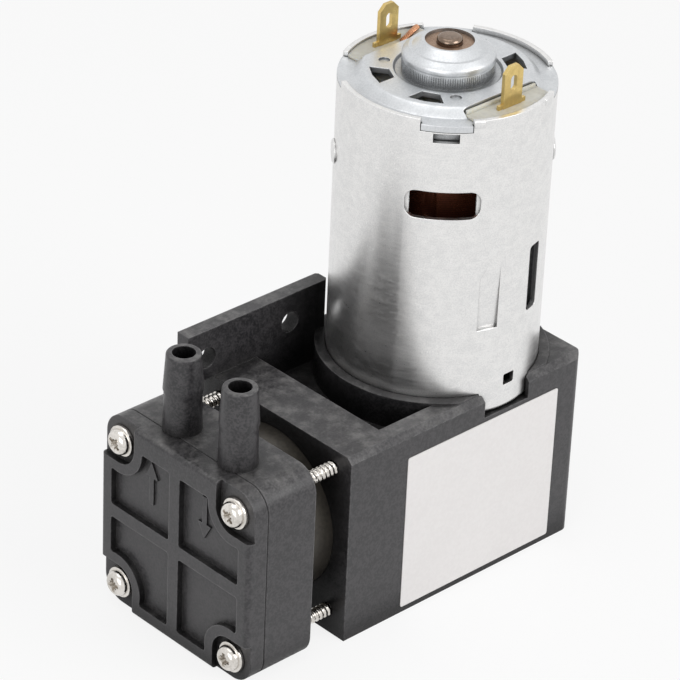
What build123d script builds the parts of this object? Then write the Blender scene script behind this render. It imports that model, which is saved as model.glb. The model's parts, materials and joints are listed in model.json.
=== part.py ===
from build123d import *
from math import cos, radians, sin
import os

# Oil-free vacuum pump: a wobble piston driven by an upright brushed motor.
# Millimetres. The motor axis is x = 0, y = 0, +Z is up and z = 0 is the flat base.
# The cylinder lies along X in front of the crankcase, so the pump head faces -X.

# Clearances
slip_gap = 0.1        # moulded parts that slide together
fit_gap = 0.02        # turned parts and screws in their holes
seat_gap = 0.02       # valve flap above its plate

# Motor can
can_radius = 21.0
can_length = 64.8
can_wall = 1.0
can_floor = 1.6
can_edge_round = 1.4
nose_radius = 8.75
nose_length = 4.7
shaft_radius = 2.5
shaft_end_round = 0.9
motor_screw_circle = 14.5
motor_screw_angle = 45.0
motor_screw_radius = 1.95
motor_screw_length = 8.0
motor_head_radius = 3.5
motor_head_height = 2.6

# Crankcase
case_side_cover = 0.2
front_reach = 41.4
deck_over_axis = 20.2
seat_depth = 4.7
seat_floor_thickness = 4.2
ring_wall = 2.1
ring_proud = 0.4
beam_thickness = 11.3
pocket_depth = 6.4
pocket_floor = 2.5
label_wall = 4.6
case_wall = 3.0
case_corner_round = 2.2
top_chamfer = 1.2
notch_width = 12.0
notch_mouth_round = 0.5

# Mounting flange
flange_thickness = 3.2
flange_rise = 11.0
flange_front = 48.1
flange_rear = 11.8
flange_edge_chamfer = 0.5
flange_hole_radius = 2.25
flange_hole_spacing = 21.7
flange_hole_front = 4.8
flange_hole_height = 4.8

# Bottom cover
cover_plate_thickness = 2.4
cover_lip = 1.5
cover_post_radius = 3.2
cover_post_inset = 2.9
cover_screw_radius = 1.25
cover_screw_length = 9.0
cover_head_radius = 2.4
cover_rib_width = 1.6
cover_rib_height = 1.5

# Cylinder
bore_radius = 15.0
sleeve_wall = 2.0
head_gap = 8.9
sleeve_in_case = 7.4
sleeve_in_block = 2.0
sleeve_edge_chamfer = 0.4
oring_section = 0.9
oring_groove_width = 1.1
oring_inset = 1.0

# Pump head
head_half = 21.2
head_corner_round = 5.0
block_depth = 11.9
cover_depth = 4.7
plenum_half = 13.4
plenum_round = 4.0
plenum_depth = 5.2
plenum_rib = 2.8
window_width = 9.0
window_low = 10.0
window_high = 8.0
gasket_thickness = 0.8
gasket_width = 1.8
plate_gasket_thickness = 0.3
valve_plate_thickness = 1.7
screw_offset = 16.2
screw_radius = 1.45
screw_hole_gap = 0.15
screw_in_case = 8.0
screw_head_radius = 3.2
screw_head_height = 2.5
land_radius = 4.5
land_depth = 1.4
seam_chamfer = 0.2
panel_rim = 3.0
panel_top_rim = 4.6
panel_rib = 2.9
panel_depth = 1.35
panel_boss_clear = 6.75
panel_round = 0.6
cover_edge_round = 1.0
arrow_offset = 7.6
arrow_shaft_width = 1.3
arrow_head_width = 3.6
arrow_head_length = 3.3
arrow_low = 6.1
arrow_high = 15.4
arrow_height = 0.4

# Hose ports
port_forward = 59.4
port_outlet_y = 6.5
port_inlet_y = -9.3
port_height = 16.6
port_bore_radius = 2.28
port_passage_radius = 1.6
port_tip_radius = 3.4
port_barb_radius = 3.9
port_stem_radius = 3.7
port_base_radius = 3.85
port_barb_drop = 8.4
port_barb_step = 0.6
port_mouth_round = 0.4

# Valves
valve_offset = 6.8
valve_hole_radius = 1.1
valve_hole_circle = 1.9
valve_hole_height = 1.8
flap_width = 7.0
flap_length = 11.0
flap_thickness = 0.2
flap_root = -5.2
clamp_width = 8.0
clamp_height = 3.6
clamp_thickness = 0.5
clamp_screw_radius = 0.9
clamp_screw_length = 1.6

# Crank, rod and piston
crank_throw = 2.5
crank_hub_radius = 8.0
crank_hub_gap = 0.8
crank_bore_depth = 5.0
crank_shoulder = 1.3
crank_shoulder_radius = 3.5
crank_pin_radius = 2.5
weight_side_gap = 4.2
weight_top_gap = 0.7
weight_half_angle = 62.0
set_screw_radius = 1.5
set_screw_sink = 0.4
set_screw_socket = 0.75
set_screw_depth = 1.6
bearing_height = 5.0
bearing_radius = 8.0
clip_thickness = 0.6
clip_radius = 4.6
clip_gap = 0.1
rod_eye_wall = 3.0
rod_thickness = 6.0
rod_width_eye = 13.0
rod_width_piston = 9.0
rod_web = 2.6
rod_rim = 1.6
piston_clearance = 1.3
piston_cap_radius = 11.6
piston_cap_thickness = 1.8
piston_base_radius = 12.1
piston_base_thickness = 2.6
seal_thickness = 0.6
seal_skirt = 2.2
seal_bore_gap = 0.1
piston_screw_radius = 1.5
piston_screw_length = 6.5
piston_screw_head = 3.0

# Inside the motor
magnet_thickness = 3.8
magnet_half_angle = 66.0
magnet_low = 6.0
magnet_height = 36.0
clip_strip = 0.6
clip_half_angle = 11.0
air_gap = 0.6
armature_low = 9.5
armature_height = 30.0
armature_slots = 5
tooth_width = 4.6
tooth_tip_height = 2.6
tooth_gap_angle = 11.0
armature_hub_radius = 5.2
winding_inset = 0.3
winding_rise_top = 10.0
winding_rise_low = 5.4
winding_step = 2.0
commutator_radius = 6.2
commutator_height = 10.0
commutator_below_rim = 4.5
commutator_slot = 0.4

# Brush end of the motor
bell_thickness = 1.2
rim_lip = 1.0
plateau_inset = 2.2
plateau_slope = 1.6
plateau_rise = 1.7
bell_groove_radius = 10.3
bell_groove_depth = 0.5
boss_wall_radius = 8.8
boss_wall_height = 2.4
boss_bulge = 0.15
boss_shoulder_radius = 7.7
boss_shoulder_height = 4.6
boss_top_radius = 5.3
boss_height = 6.0
boss_opening = 4.75
bell_vent_inner = 11.3
bell_vent_outer = 15.0
bell_vent_half_in = 9.0
bell_vent_half_out = 13.6
bell_vent_angles = [153.0, -151.0, -27.0, 29.0]
bell_dimples = [(12.3, 126.0), (12.3, -127.5)]
bell_dimple_radius = 1.1
bell_dimple_depth = 0.35
bush_radius = 6.4
bush_nose_drop = 0.7
shaft_proud = 0.8
carrier_chord_inset = 6.2
carrier_half = 9.4
carrier_proud = 0.5
carrier_ring_height = 3.0
carrier_bore = 7.6
brush_width = 5.0
brush_height = 4.6
brush_spring_room = 4.4
brush_gap = 0.1
brush_box_wall = 1.3
brush_spring_radius = 1.9
brush_spring_wire = 0.5
brush_spring_turns = 4
terminal_inset = 3.2
terminal_width = 4.8
terminal_thickness = 0.8
terminal_rise = 8.45
terminal_foot = 3.0
terminal_corner = 1.4
terminal_slot_width = 1.6
terminal_slot_length = 3.1
terminal_slot_drop = 3.6
rim_notch_angle = -134.6
rim_notch_half = 13.8
rim_notch_depth = 2.4
rim_cut_half = 17.5
rim_cut_depth = 1.5
lock_hole_width = 5.0
lock_hole_height = 1.9
lock_hole_drop = 3.6

# Openings in the can's side, by angle about the motor axis and height above the can's foot
cooling_angle = -134.6
cooling_width = 14.4
cooling_height = 5.8
cooling_level = 47.0
cooling_round = 2.2
lance_angle = -73.6
lance_width = 3.6
lance_height = 14.2
lance_level = 27.0
dent_angle = -106.3
dent_width = 4.4
dent_height = 15.6
dent_level = 27.2
dent_depth = 0.7
dent_round = 2.0
locator_angle = -89.5
locator_width = 2.8
locator_height = 2.4
locator_level = 6.7
punch_angle = 143.0
punch_radius = 2.4
punch_proud = 0.45
punch_slit = 0.9
punch_level = 48.1

# Label
label_length = 40.8
label_height = 34.4
label_front = 15.0
label_low = 1.3
label_thickness = 0.15

# Heights and stations that follow from the sizes above
axis_height = head_half
half_width = can_radius + case_side_cover
deck_height = axis_height + deck_over_axis
seat_height = deck_height - seat_depth
can_top = seat_height + can_length
chamber_top = seat_height - seat_floor_thickness
pocket_height = deck_height - pocket_depth
seat_radius = can_radius + slip_gap
ring_radius = seat_radius + ring_wall
beam_rear = beam_thickness - front_reach
flange_inner = half_width - flange_thickness
flange_top = deck_height + flange_rise
flange_hole_x = [flange_hole_front - flange_front, flange_hole_front - flange_front + flange_hole_spacing]
flange_hole_z = deck_height + flange_hole_height
sleeve_radius = bore_radius + sleeve_wall
sleeve_socket = sleeve_radius + slip_gap / 2
block_rear = -front_reach - head_gap
block_front = block_rear - block_depth
cover_front = block_front - cover_depth
sleeve_rear = sleeve_in_case - front_reach
sleeve_front = block_rear - sleeve_in_block
plate_front = sleeve_front - valve_plate_thickness
socket_floor = plate_front - plate_gasket_thickness
plenum_floor = block_front + plenum_depth
head_top = axis_height + head_half
port_top = head_top + port_height
nose_bottom = seat_height - nose_length
rod_middle = axis_height
bearing_top = rod_middle + bearing_height / 2
bearing_bottom = bearing_top - bearing_height
hub_bottom = bearing_top + crank_shoulder
hub_top = nose_bottom - crank_hub_gap
weight_top = chamber_top - motor_head_height - weight_top_gap
weight_radius = half_width - case_wall - weight_side_gap
set_screw_level = (hub_bottom + hub_top) / 2
clip_top = bearing_bottom - clip_gap
pin_x = -crank_throw
piston_front = sleeve_front + piston_clearance
seal_front = piston_front + piston_cap_thickness
base_front = seal_front + seal_thickness
base_rear = base_front + piston_base_thickness
inner_radius = can_radius - can_wall
band_top = can_top - rim_lip
band_bottom = band_top - bell_thickness
plateau_top = band_top + plateau_rise
plateau_foot = inner_radius - plateau_inset
plateau_edge = plateau_foot - plateau_slope
boss_top = plateau_top + boss_height
magnet_inner = inner_radius - magnet_thickness
armature_radius = magnet_inner - air_gap
winding_outer = armature_radius - winding_step
carrier_chord = inner_radius - carrier_chord_inset
carrier_top = band_top + carrier_proud
terminal_offset = inner_radius - terminal_inset
spring_stop = inner_radius - 2.5
spring_start = spring_stop - brush_spring_room
brush_level = can_top - commutator_below_rim - commutator_height / 2
post_x = [beam_rear + cover_post_inset, half_width - case_wall - cover_post_inset]
post_y = half_width - case_wall - cover_post_inset
screw_points = [(y, z) for y in (-screw_offset, screw_offset) for z in (-screw_offset, screw_offset)]


# Building blocks

def block(x, y, z):
    corner = (Align.MIN, Align.MIN, Align.MIN)
    return Pos(x[0], y[0], z[0]) * Box(x[1] - x[0], y[1] - y[0], z[1] - z[0], align=corner)


def rounded_block(x, y, z, radius):
    outline = RectangleRounded(x[1] - x[0], y[1] - y[0], radius)
    middle = Pos((x[0] + x[1]) / 2, (y[0] + y[1]) / 2, z[0])
    return extrude(middle * outline, z[1] - z[0])


def post(radius, z, x=0.0, y=0.0):
    foot = (Align.CENTER, Align.CENTER, Align.MIN)
    return Pos(x, y, z[0]) * Cylinder(radius, z[1] - z[0], align=foot)


def across(x):
    # Plane across the cylinder: its own x runs along +Y and its own y along +Z.
    return Plane(origin=(x, 0, axis_height), x_dir=(0, 1, 0), z_dir=(1, 0, 0))


def bar(radius, x, y=0.0, z=0.0):
    foot = (Align.CENTER, Align.CENTER, Align.MIN)
    return across(x[0]) * Pos(y, z) * Cylinder(radius, x[1] - x[0], align=foot)


def slab(outline, x):
    return extrude(across(x[0]) * outline, x[1] - x[0])


def profile(corners, rounds):
    face = make_face(Polyline(*corners, close=True))
    for corner, radius in rounds:
        spot = face.vertices().sort_by_distance((corner[0], corner[1], 0))[0]
        face = fillet(spot, radius)
    return face


def turned(corners, rounds=()):
    # Solid of revolution about the motor axis from corners given as (radius, height).
    return revolve(Plane.XZ * profile(corners, rounds), Axis.Z)


def turned_along(corners, rounds=()):
    # Solid of revolution about the cylinder axis from corners given as (station, radius).
    side = Plane(origin=(0, 0, axis_height), x_dir=(1, 0, 0), z_dir=(0, -1, 0))
    return revolve(side * profile(corners, rounds), Axis((0, 0, axis_height), (1, 0, 0)))


def ring(outer, inner, z):
    return post(outer, z) - post(inner, (z[0] - 1, z[1] + 1))


def sector(outer, inner, start, stop, z):
    # Part of a ring between two angles in degrees.
    step = (stop - start) / 4
    reach = 2 * outer
    fan = [(reach * cos(radians(start + step * i)), reach * sin(radians(start + step * i))) for i in range(5)]
    wedge = make_face(Polyline((0, 0), *fan, close=True))
    return ring(outer, inner, z) & extrude(Pos(0, 0, z[0]) * wedge, z[1] - z[0])


def outward(angle, radius, height):
    # Plane on the can's side: its own x runs round the can and its own y is up.
    turn = radians(angle)
    spot = (radius * cos(turn), radius * sin(turn), height)
    return Plane(origin=spot, x_dir=(-sin(turn), cos(turn), 0), z_dir=(cos(turn), sin(turn), 0))


def window(outline, angle, height, depth=4.0):
    return extrude(outward(angle, can_radius, height) * outline, depth / 2, both=True)


# Crankcase and what closes it

def side_notch(turn):
    # Where the can is as wide as the case, the thin wall is left out down to the seat.
    half = notch_width / 2
    top = deck_height + ring_proud
    mouth = half + notch_mouth_round
    low = (Align.CENTER, Align.MIN)
    outline = Pos(0, seat_height) * Rectangle(notch_width, top + 1 - seat_height, align=low)
    outline += Pos(0, deck_height - notch_mouth_round) * Rectangle(2 * mouth, notch_mouth_round + 1, align=low)
    for side in (-1, 1):
        outline -= Pos(side * mouth, deck_height - notch_mouth_round) * Circle(notch_mouth_round)
    inner = can_radius - 3
    cutter = extrude(Plane.XZ.offset(inner) * outline, half_width + 1 - inner)
    return Rot(0, 0, turn) * cutter


def make_crankcase():
    inside = half_width - case_wall
    body = block((-front_reach, half_width), (-half_width, half_width), (0, deck_height))
    body = fillet(body.edges().filter_by(Axis.Z).group_by(Axis.X)[-1], case_corner_round)
    footprint = body.faces().sort_by(Axis.Z)[0]
    edge = Pos(0, -half_width, deck_height) * Rot(45, 0, 0) * Box(4 * front_reach, *[top_chamfer * 2 ** 0.5] * 2)
    body -= edge

    proud = ring(ring_radius, seat_radius, (deck_height, deck_height + ring_proud))
    inset = block((-front_reach, half_width), (top_chamfer - half_width, half_width), (deck_height, deck_height + 5))
    body += proud & inset & extrude(footprint, -2 * deck_height)

    flange = block((-flange_front, -flange_rear), (flange_inner, half_width), (deck_height, flange_top))
    flange = chamfer(flange.edges().filter_by(Axis.Z).group_by(Axis.X)[-1], flange_edge_chamfer)
    body += flange
    pocket = block((beam_rear, 0), (label_wall - half_width, flange_inner), (pocket_height, deck_height + 1))
    body -= pocket - post(ring_radius, (0, deck_height + 2))
    for x in flange_hole_x:
        body -= Pos(x, half_width, flange_hole_z) * Rot(90, 0, 0) * Cylinder(flange_hole_radius, 4 * flange_thickness)

    body -= post(seat_radius, (seat_height, flange_top + 1))
    for turn in (0, 90, 180):
        body -= side_notch(turn)
    body -= post(nose_radius + slip_gap, (chamber_top - 1, seat_height + 1))
    for x, y in motor_screw_spots():
        body -= post(motor_screw_radius + screw_hole_gap, (chamber_top - 1, seat_height + 1), x, y)

    chamber = rounded_block((beam_rear, inside), (-inside, inside), (-1, chamber_top), cover_post_radius)
    for x in post_x:
        for y in (-post_y, post_y):
            outer_x = inside + 1 if x > 0 else beam_rear - 1
            outer_y = (inside + 1) * (1 if y > 0 else -1)
            corner = block(sorted((x, outer_x)), sorted((y, outer_y)), (0, chamber_top))
            chamber -= corner + post(cover_post_radius, (0, chamber_top), x, y)
    body -= chamber
    body -= rounded_block(*cover_outline(slip_gap), (-1, cover_plate_thickness), cover_post_radius)
    for x in post_x:
        for y in (-post_y, post_y):
            body -= post(cover_screw_radius, (0, cover_plate_thickness + cover_screw_length), x, y)

    body -= bar(sleeve_socket, (-front_reach - 1, sleeve_rear))
    body -= bar(bore_radius - 1, (sleeve_rear - 1, beam_rear + 1))
    for y, z in screw_points:
        body -= bar(screw_radius + fit_gap, (-front_reach - 1, screw_in_case + 1 - front_reach), y, z)
    return body


def motor_screw_spots():
    spots = []
    for turn in (motor_screw_angle, motor_screw_angle + 180):
        spots.append((motor_screw_circle * cos(radians(turn)), motor_screw_circle * sin(radians(turn))))
    return spots


def cover_outline(gap):
    inside = half_width - case_wall
    wide = inside + cover_lip + gap
    return (beam_rear - cover_lip - gap, wide), (-wide, wide)


def make_bottom_cover():
    across_x, across_y = cover_outline(0)
    plate = rounded_block(across_x, across_y, (0, cover_plate_thickness), cover_post_radius)
    rib_top = cover_plate_thickness + cover_rib_height
    reach = half_width - case_wall - slip_gap
    clear = 2 * cover_post_inset + slip_gap
    middle = (across_x[0] + across_x[1]) / 2
    half_rib = cover_rib_width / 2
    plate += block((beam_rear + slip_gap, reach), (-half_rib, half_rib), (0, rib_top))
    for x in (middle - 9, middle + 9):
        plate += block((x - half_rib, x + half_rib), (clear - reach, reach - clear), (0, rib_top))
    for x in post_x:
        for y in (-post_y, post_y):
            plate -= post(cover_screw_radius + screw_hole_gap, (-1, rib_top + 1), x, y)
            plate -= Pos(x, y, 0) * countersink(cover_head_radius, cover_screw_radius)
    return plate


def countersink(head_radius, shank_radius):
    # Cone open downwards, with its wide end at z = 0.
    depth = head_radius - shank_radius
    foot = (Align.CENTER, Align.CENTER, Align.MIN)
    return Cone(head_radius, shank_radius, depth, align=foot)


def make_cover_screws():
    screws = []
    for x in post_x:
        for y in (-post_y, post_y):
            shank = post(cover_screw_radius - fit_gap, (0, cover_plate_thickness + cover_screw_length - 1), x, y)
            head = Pos(x, y, 0) * countersink(cover_head_radius - fit_gap, cover_screw_radius - fit_gap)
            screws.append(shank + head - drive_cross(x, y))
    return Compound(children=screws)


def drive_cross(x, y):
    cross = Box(2.4, 0.6, 1.6) + Box(0.6, 2.4, 1.6)
    return Pos(x, y, 0) * cross


# Cylinder, valves and pump head

def make_sleeve():
    groove_front = sleeve_front + oring_inset
    groove_rear = groove_front + oring_groove_width
    groove_floor = sleeve_radius - oring_section
    edge = sleeve_edge_chamfer
    corners = [(sleeve_front, bore_radius), (sleeve_front, sleeve_radius - edge), (sleeve_front + edge, sleeve_radius),
               (groove_front, sleeve_radius), (groove_front, groove_floor), (groove_rear, groove_floor),
               (groove_rear, sleeve_radius), (sleeve_rear - edge, sleeve_radius),
               (sleeve_rear, sleeve_radius - edge), (sleeve_rear, bore_radius)]
    return turned_along(corners)


def make_sleeve_oring():
    minor = oring_section / 2
    middle = sleeve_front + oring_inset + oring_groove_width / 2
    torus = Torus(sleeve_radius - minor, minor)
    return Pos(middle, 0, axis_height) * Rot(0, 90, 0) * torus


def window_outlines():
    # The two openings in the block's web, one behind each valve.
    outline = Rectangle(window_width, window_low + window_high)
    lift = (window_high - window_low) / 2
    return [Pos(side * valve_offset, lift) * outline for side in (-1, 1)]


def plenum_outlines(grow=0.0):
    # The inlet and outlet rooms, left and right of the middle rib.
    half = plenum_half + grow
    room = RectangleRounded(2 * half, 2 * half, plenum_round + grow)
    room -= Rectangle(plenum_rib - 2 * grow, 3 * half)
    return room


def gasket_outline(gap=0.0):
    half = plenum_half + gasket_width + gap
    outer = RectangleRounded(2 * half, 2 * half, plenum_round + gasket_width + gap)
    return outer - plenum_outlines((plenum_rib - gasket_width) / 4 - gap)


def port_spots():
    return [(-port_forward, port_outlet_y), (-port_forward, port_inlet_y)]


def make_port(x, y):
    step = port_top - port_barb_drop
    corners = [(0, head_top), (port_base_radius, head_top), (port_stem_radius, step - port_barb_step),
               (port_stem_radius, step), (port_barb_radius, step + port_barb_step),
               (port_tip_radius, port_top), (0, port_top)]
    lip = [((port_tip_radius, port_top), port_mouth_round)]
    return Pos(x, y, 0) * turned(corners, lip)


def head_outline():
    return RectangleRounded(2 * head_half, 2 * head_half, head_corner_round)


def make_valve_block():
    body = slab(head_outline(), (block_front, block_rear))
    body = chamfer(body.faces().sort_by(Axis.X)[0].outer_wire().edges(), seam_chamfer)
    body -= bar(sleeve_socket, (socket_floor, block_rear + 1))
    body -= slab(plenum_outlines(), (block_front - 1, plenum_floor))
    for opening in window_outlines():
        body -= slab(opening, (plenum_floor - 1, socket_floor + 1))
    body -= slab(gasket_outline(slip_gap / 2), (block_front - 1, block_front + gasket_thickness))
    for x, y in port_spots():
        body += make_port(x, y)
    for x, y in port_spots():
        body -= post(port_bore_radius, (head_top, port_top + 1), x, y)
        body -= post(port_passage_radius, (axis_height + plenum_half - 1, port_top), x, y)
    for y, z in screw_points:
        body -= bar(screw_radius + screw_hole_gap, (block_front - 1, block_rear + 1), y, z)
    return body


def make_cover_gasket():
    return slab(gasket_outline(), (block_front, block_front + gasket_thickness))


def land_sketch(y, z):
    # Round-cornered land about a screw, open towards the corner of the head.
    near = screw_offset - land_radius
    far = head_half + 1
    side_y = 1 if y > 0 else -1
    side_z = 1 if z > 0 else -1
    land = Pos(side_y * (near + far) / 2, side_z * (near + far) / 2) * Rectangle(far - near, far - near)
    corner = land.vertices().sort_by_distance((side_y * near, side_z * near, 0))[0]
    return fillet(corner, land_radius)


def panel_sketch():
    half = head_half - panel_rim
    near = panel_rib / 2
    panels = Sketch()
    for y, z in screw_points:
        far_z = head_half - panel_top_rim if z > 0 else half
        middle_y = (half + near) / 2 if y > 0 else -(half + near) / 2
        middle_z = (far_z + near) / 2 if z > 0 else -(far_z + near) / 2
        panel = Pos(middle_y, middle_z) * Rectangle(half - near, far_z - near)
        panel -= Pos(y, z) * Circle(panel_boss_clear)
        panels += fillet(panel.vertices(), panel_round)
    return panels


def arrow_sketch(points_up):
    # Flow arrow: a shaft and a triangular head.
    neck = arrow_high - arrow_head_length
    shaft = arrow_shaft_width / 2
    barb = arrow_head_width / 2
    corners = [(-shaft, arrow_low), (shaft, arrow_low), (shaft, neck), (barb, neck), (0, arrow_high),
               (-barb, neck), (-shaft, neck)]
    if not points_up:
        corners = [(y, arrow_low + arrow_high - z) for y, z in corners]
    return make_face(Polyline(*corners, close=True))


def make_head_cover():
    body = slab(head_outline(), (cover_front, block_front))
    body = fillet(body.faces().sort_by(Axis.X)[0].outer_wire().edges(), cover_edge_round)
    body = chamfer(body.faces().sort_by(Axis.X)[-1].outer_wire().edges(), seam_chamfer)
    body -= slab(panel_sketch(), (cover_front - 1, cover_front + panel_depth))
    for side in (-1, 1):
        arrow = Pos(side * arrow_offset, 0) * arrow_sketch(side > 0)
        body += slab(arrow, (cover_front + panel_depth - arrow_height, cover_front + panel_depth))
    for y, z in screw_points:
        body -= slab(land_sketch(y, z), (cover_front - 1, cover_front + land_depth))
        body -= bar(screw_radius + screw_hole_gap, (cover_front - 1, block_front + 1), y, z)
    return body


def make_head_screws():
    screws = []
    tip = screw_in_case - front_reach
    seat = cover_front + land_depth
    brim = seat - screw_head_height * 0.35
    crest = seat - screw_head_height
    for y, z in screw_points:
        corners = [(seat, 0), (seat, screw_head_radius), (brim, screw_head_radius),
                   (crest, screw_head_radius * 0.45), (crest, 0)]
        crown = [((brim, screw_head_radius), 0.5), ((crest, screw_head_radius * 0.45), 1.0)]
        head = Pos(0, y, z) * turned_along(corners, crown)
        screws.append(head + bar(screw_radius, (seat - 0.5, tip), y, z))
    return Compound(children=screws)


def make_plate_gasket():
    sheet = bar(sleeve_radius, (socket_floor, plate_front))
    for opening in window_outlines():
        sheet -= slab(opening, (socket_floor - 1, plate_front + 1))
    return sheet


def valve_holes(side):
    holes = []
    for turn in (90, 210, 330):
        y = side * valve_offset + valve_hole_circle * cos(radians(turn))
        z = valve_hole_height + valve_hole_circle * sin(radians(turn))
        holes.append((y, z))
    return holes


def make_valve_plate():
    plate = bar(sleeve_radius, (plate_front, sleeve_front))
    for side in (-1, 1):
        for y, z in valve_holes(side):
            plate -= bar(valve_hole_radius, (plate_front - 1, sleeve_front + 1), y, z)
        clamp_z = flap_root - slip_gap - clamp_height / 2
        hole = (plate_front - 1, sleeve_front + 1)
        plate -= bar(clamp_screw_radius + fit_gap, hole, side * valve_offset, clamp_z)
    return plate


def make_flap(side, x):
    middle = flap_root + flap_length / 2
    outline = Pos(side * valve_offset, middle) * Rectangle(flap_width, flap_length)
    tip = outline.vertices().group_by(Axis.Y)[-1]
    return slab(fillet(tip, flap_width * 0.45), x)


def make_clamp(side, x):
    middle = flap_root - slip_gap - clamp_height / 2
    clamp = slab(Pos(side * valve_offset, middle) * Rectangle(clamp_width, clamp_height), x)
    return clamp - bar(clamp_screw_radius + fit_gap, (x[0] - 1, x[1] + 1), side * valve_offset, middle)


def make_clamp_screws():
    middle = flap_root - slip_gap - clamp_height / 2
    inlet_face = sleeve_front + clamp_thickness
    outlet_face = plate_front - clamp_thickness
    inlet = bar(clamp_screw_radius, (inlet_face - clamp_screw_length, inlet_face), -valve_offset, middle)
    outlet = bar(clamp_screw_radius, (outlet_face, outlet_face + clamp_screw_length), valve_offset, middle)
    return Compound(children=[inlet, outlet])


# Crank, rod and piston

def make_crank():
    hub = post(crank_hub_radius, (hub_bottom, hub_top))
    weight = sector(weight_radius, crank_hub_radius - 1, -weight_half_angle, weight_half_angle,
                    (hub_bottom, weight_top))
    hub += weight
    hub += post(crank_shoulder_radius, (bearing_top, hub_bottom), pin_x)
    hub += post(crank_pin_radius, (clip_top - clip_thickness - 0.8, bearing_top), pin_x)
    hub -= post(shaft_radius + fit_gap, (hub_top - crank_bore_depth, hub_top + 1))
    neck = post(crank_pin_radius + 1, (clip_top - clip_thickness, clip_top), pin_x)
    neck -= post(crank_pin_radius - 0.6, (clip_top - clip_thickness - 1, clip_top + 1), pin_x)
    hub -= neck
    hub -= set_screw_solid(set_screw_radius + fit_gap, crank_hub_radius + 1)
    return hub


def set_screw_solid(radius, reach):
    # The set screw lies opposite the counterweight, where the hub is bare.
    foot = (Align.CENTER, Align.CENTER, Align.MIN)
    screw = Cylinder(radius, reach - shaft_radius - fit_gap, align=foot)
    return Pos(-shaft_radius - fit_gap, 0, set_screw_level) * Rot(0, -90, 0) * screw


def make_set_screw():
    socket = extrude(RegularPolygon(set_screw_socket, 6), set_screw_depth, both=True)
    socket = Pos(set_screw_sink - crank_hub_radius, 0, set_screw_level) * Rot(0, 90, 0) * socket
    return set_screw_solid(set_screw_radius, crank_hub_radius - set_screw_sink) - socket


def make_crank_clip():
    clip = post(clip_radius, (clip_top - clip_thickness, clip_top), pin_x)
    clip -= post(crank_pin_radius - 0.6 + fit_gap, (clip_top - 2, clip_top + 1), pin_x)
    mouth = crank_pin_radius - 0.6
    clip -= block((pin_x, pin_x + 2 * clip_radius), (-mouth, mouth), (clip_top - 2, clip_top + 1))
    return clip


def make_crank_bearing():
    # Inner and outer rings with a shallow shield between them.
    shield = 0.3
    inner = crank_pin_radius + fit_gap
    outer = bearing_radius
    lip_in = inner + 1.4
    lip_out = outer - 1.3
    corners = [(inner, bearing_bottom), (lip_in, bearing_bottom), (lip_in, bearing_bottom + shield),
               (lip_out, bearing_bottom + shield), (lip_out, bearing_bottom), (outer, bearing_bottom),
               (outer, bearing_top), (lip_out, bearing_top), (lip_out, bearing_top - shield),
               (lip_in, bearing_top - shield), (lip_in, bearing_top), (inner, bearing_top)]
    return Pos(pin_x, 0, 0) * turned(corners)


def make_connecting_rod():
    low = rod_middle - rod_thickness / 2
    high = rod_middle + rod_thickness / 2
    eye = bearing_radius + rod_eye_wall
    rod = post(eye, (low, high), pin_x)
    start = pin_x
    beam = make_face(Polyline((start, -rod_width_eye / 2), (base_rear, -rod_width_piston / 2),
                              (base_rear, rod_width_piston / 2), (start, rod_width_eye / 2), close=True))
    rod += extrude(Pos(0, 0, low) * beam, high - low)
    rod += bar(piston_base_radius, (base_front, base_rear), 0, rod_middle - axis_height)
    depth = (rod_thickness - rod_web) / 2
    near = base_rear + rod_rim
    far = pin_x - eye - rod_rim
    half_near = rod_width_piston / 2 - rod_rim
    half_far = rod_width_eye / 2 - rod_rim
    recess = make_face(Polyline((near, -half_near), (far, -half_far), (far, half_far), (near, half_near), close=True))
    for z in (low - 1, high - depth):
        rod -= extrude(Pos(0, 0, z) * recess, depth + 1)
    rod -= post(bearing_radius + fit_gap, (low - 1, high + 1), pin_x)
    rod -= bar(piston_screw_radius + fit_gap, (base_front - 1, piston_front + piston_screw_length), 0,
               rod_middle - axis_height)
    return rod


def make_piston_seal():
    # Cup seal: a flat washer whose rim turns forward along the bore.
    outer = bore_radius - seal_bore_gap
    inner = piston_screw_radius + fit_gap
    tip = seal_front - seal_skirt
    corners = [(tip, outer), (tip, outer - seal_thickness), (seal_front, outer - seal_thickness - 0.4),
               (seal_front, inner), (base_front, inner), (base_front, outer - 0.4)]
    heel = [((seal_front, outer - seal_thickness - 0.4), 0.4)]
    return Pos(0, 0, rod_middle - axis_height) * turned_along(corners, heel)


def make_piston_cap():
    lift = rod_middle - axis_height
    cap = bar(piston_cap_radius, (piston_front, seal_front), 0, lift)
    cap = chamfer(cap.faces().sort_by(Axis.X)[0].edges(), 0.5)
    sink = across(piston_front) * Pos(0, lift) * countersink(piston_screw_head, piston_screw_radius)
    return cap - sink - bar(piston_screw_radius + fit_gap, (piston_front - 1, seal_front + 1), 0, lift)


def make_piston_screw():
    lift = rod_middle - axis_height
    head = across(piston_front) * Pos(0, lift) * countersink(piston_screw_head - fit_gap, piston_screw_radius - fit_gap)
    shank = bar(piston_screw_radius, (piston_front, piston_front + piston_screw_length), 0, lift)
    cross = across(piston_front) * Pos(0, lift) * (Box(3.2, 0.7, 1.6) + Box(0.7, 3.2, 1.6))
    return head + shank - cross


# Motor

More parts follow.
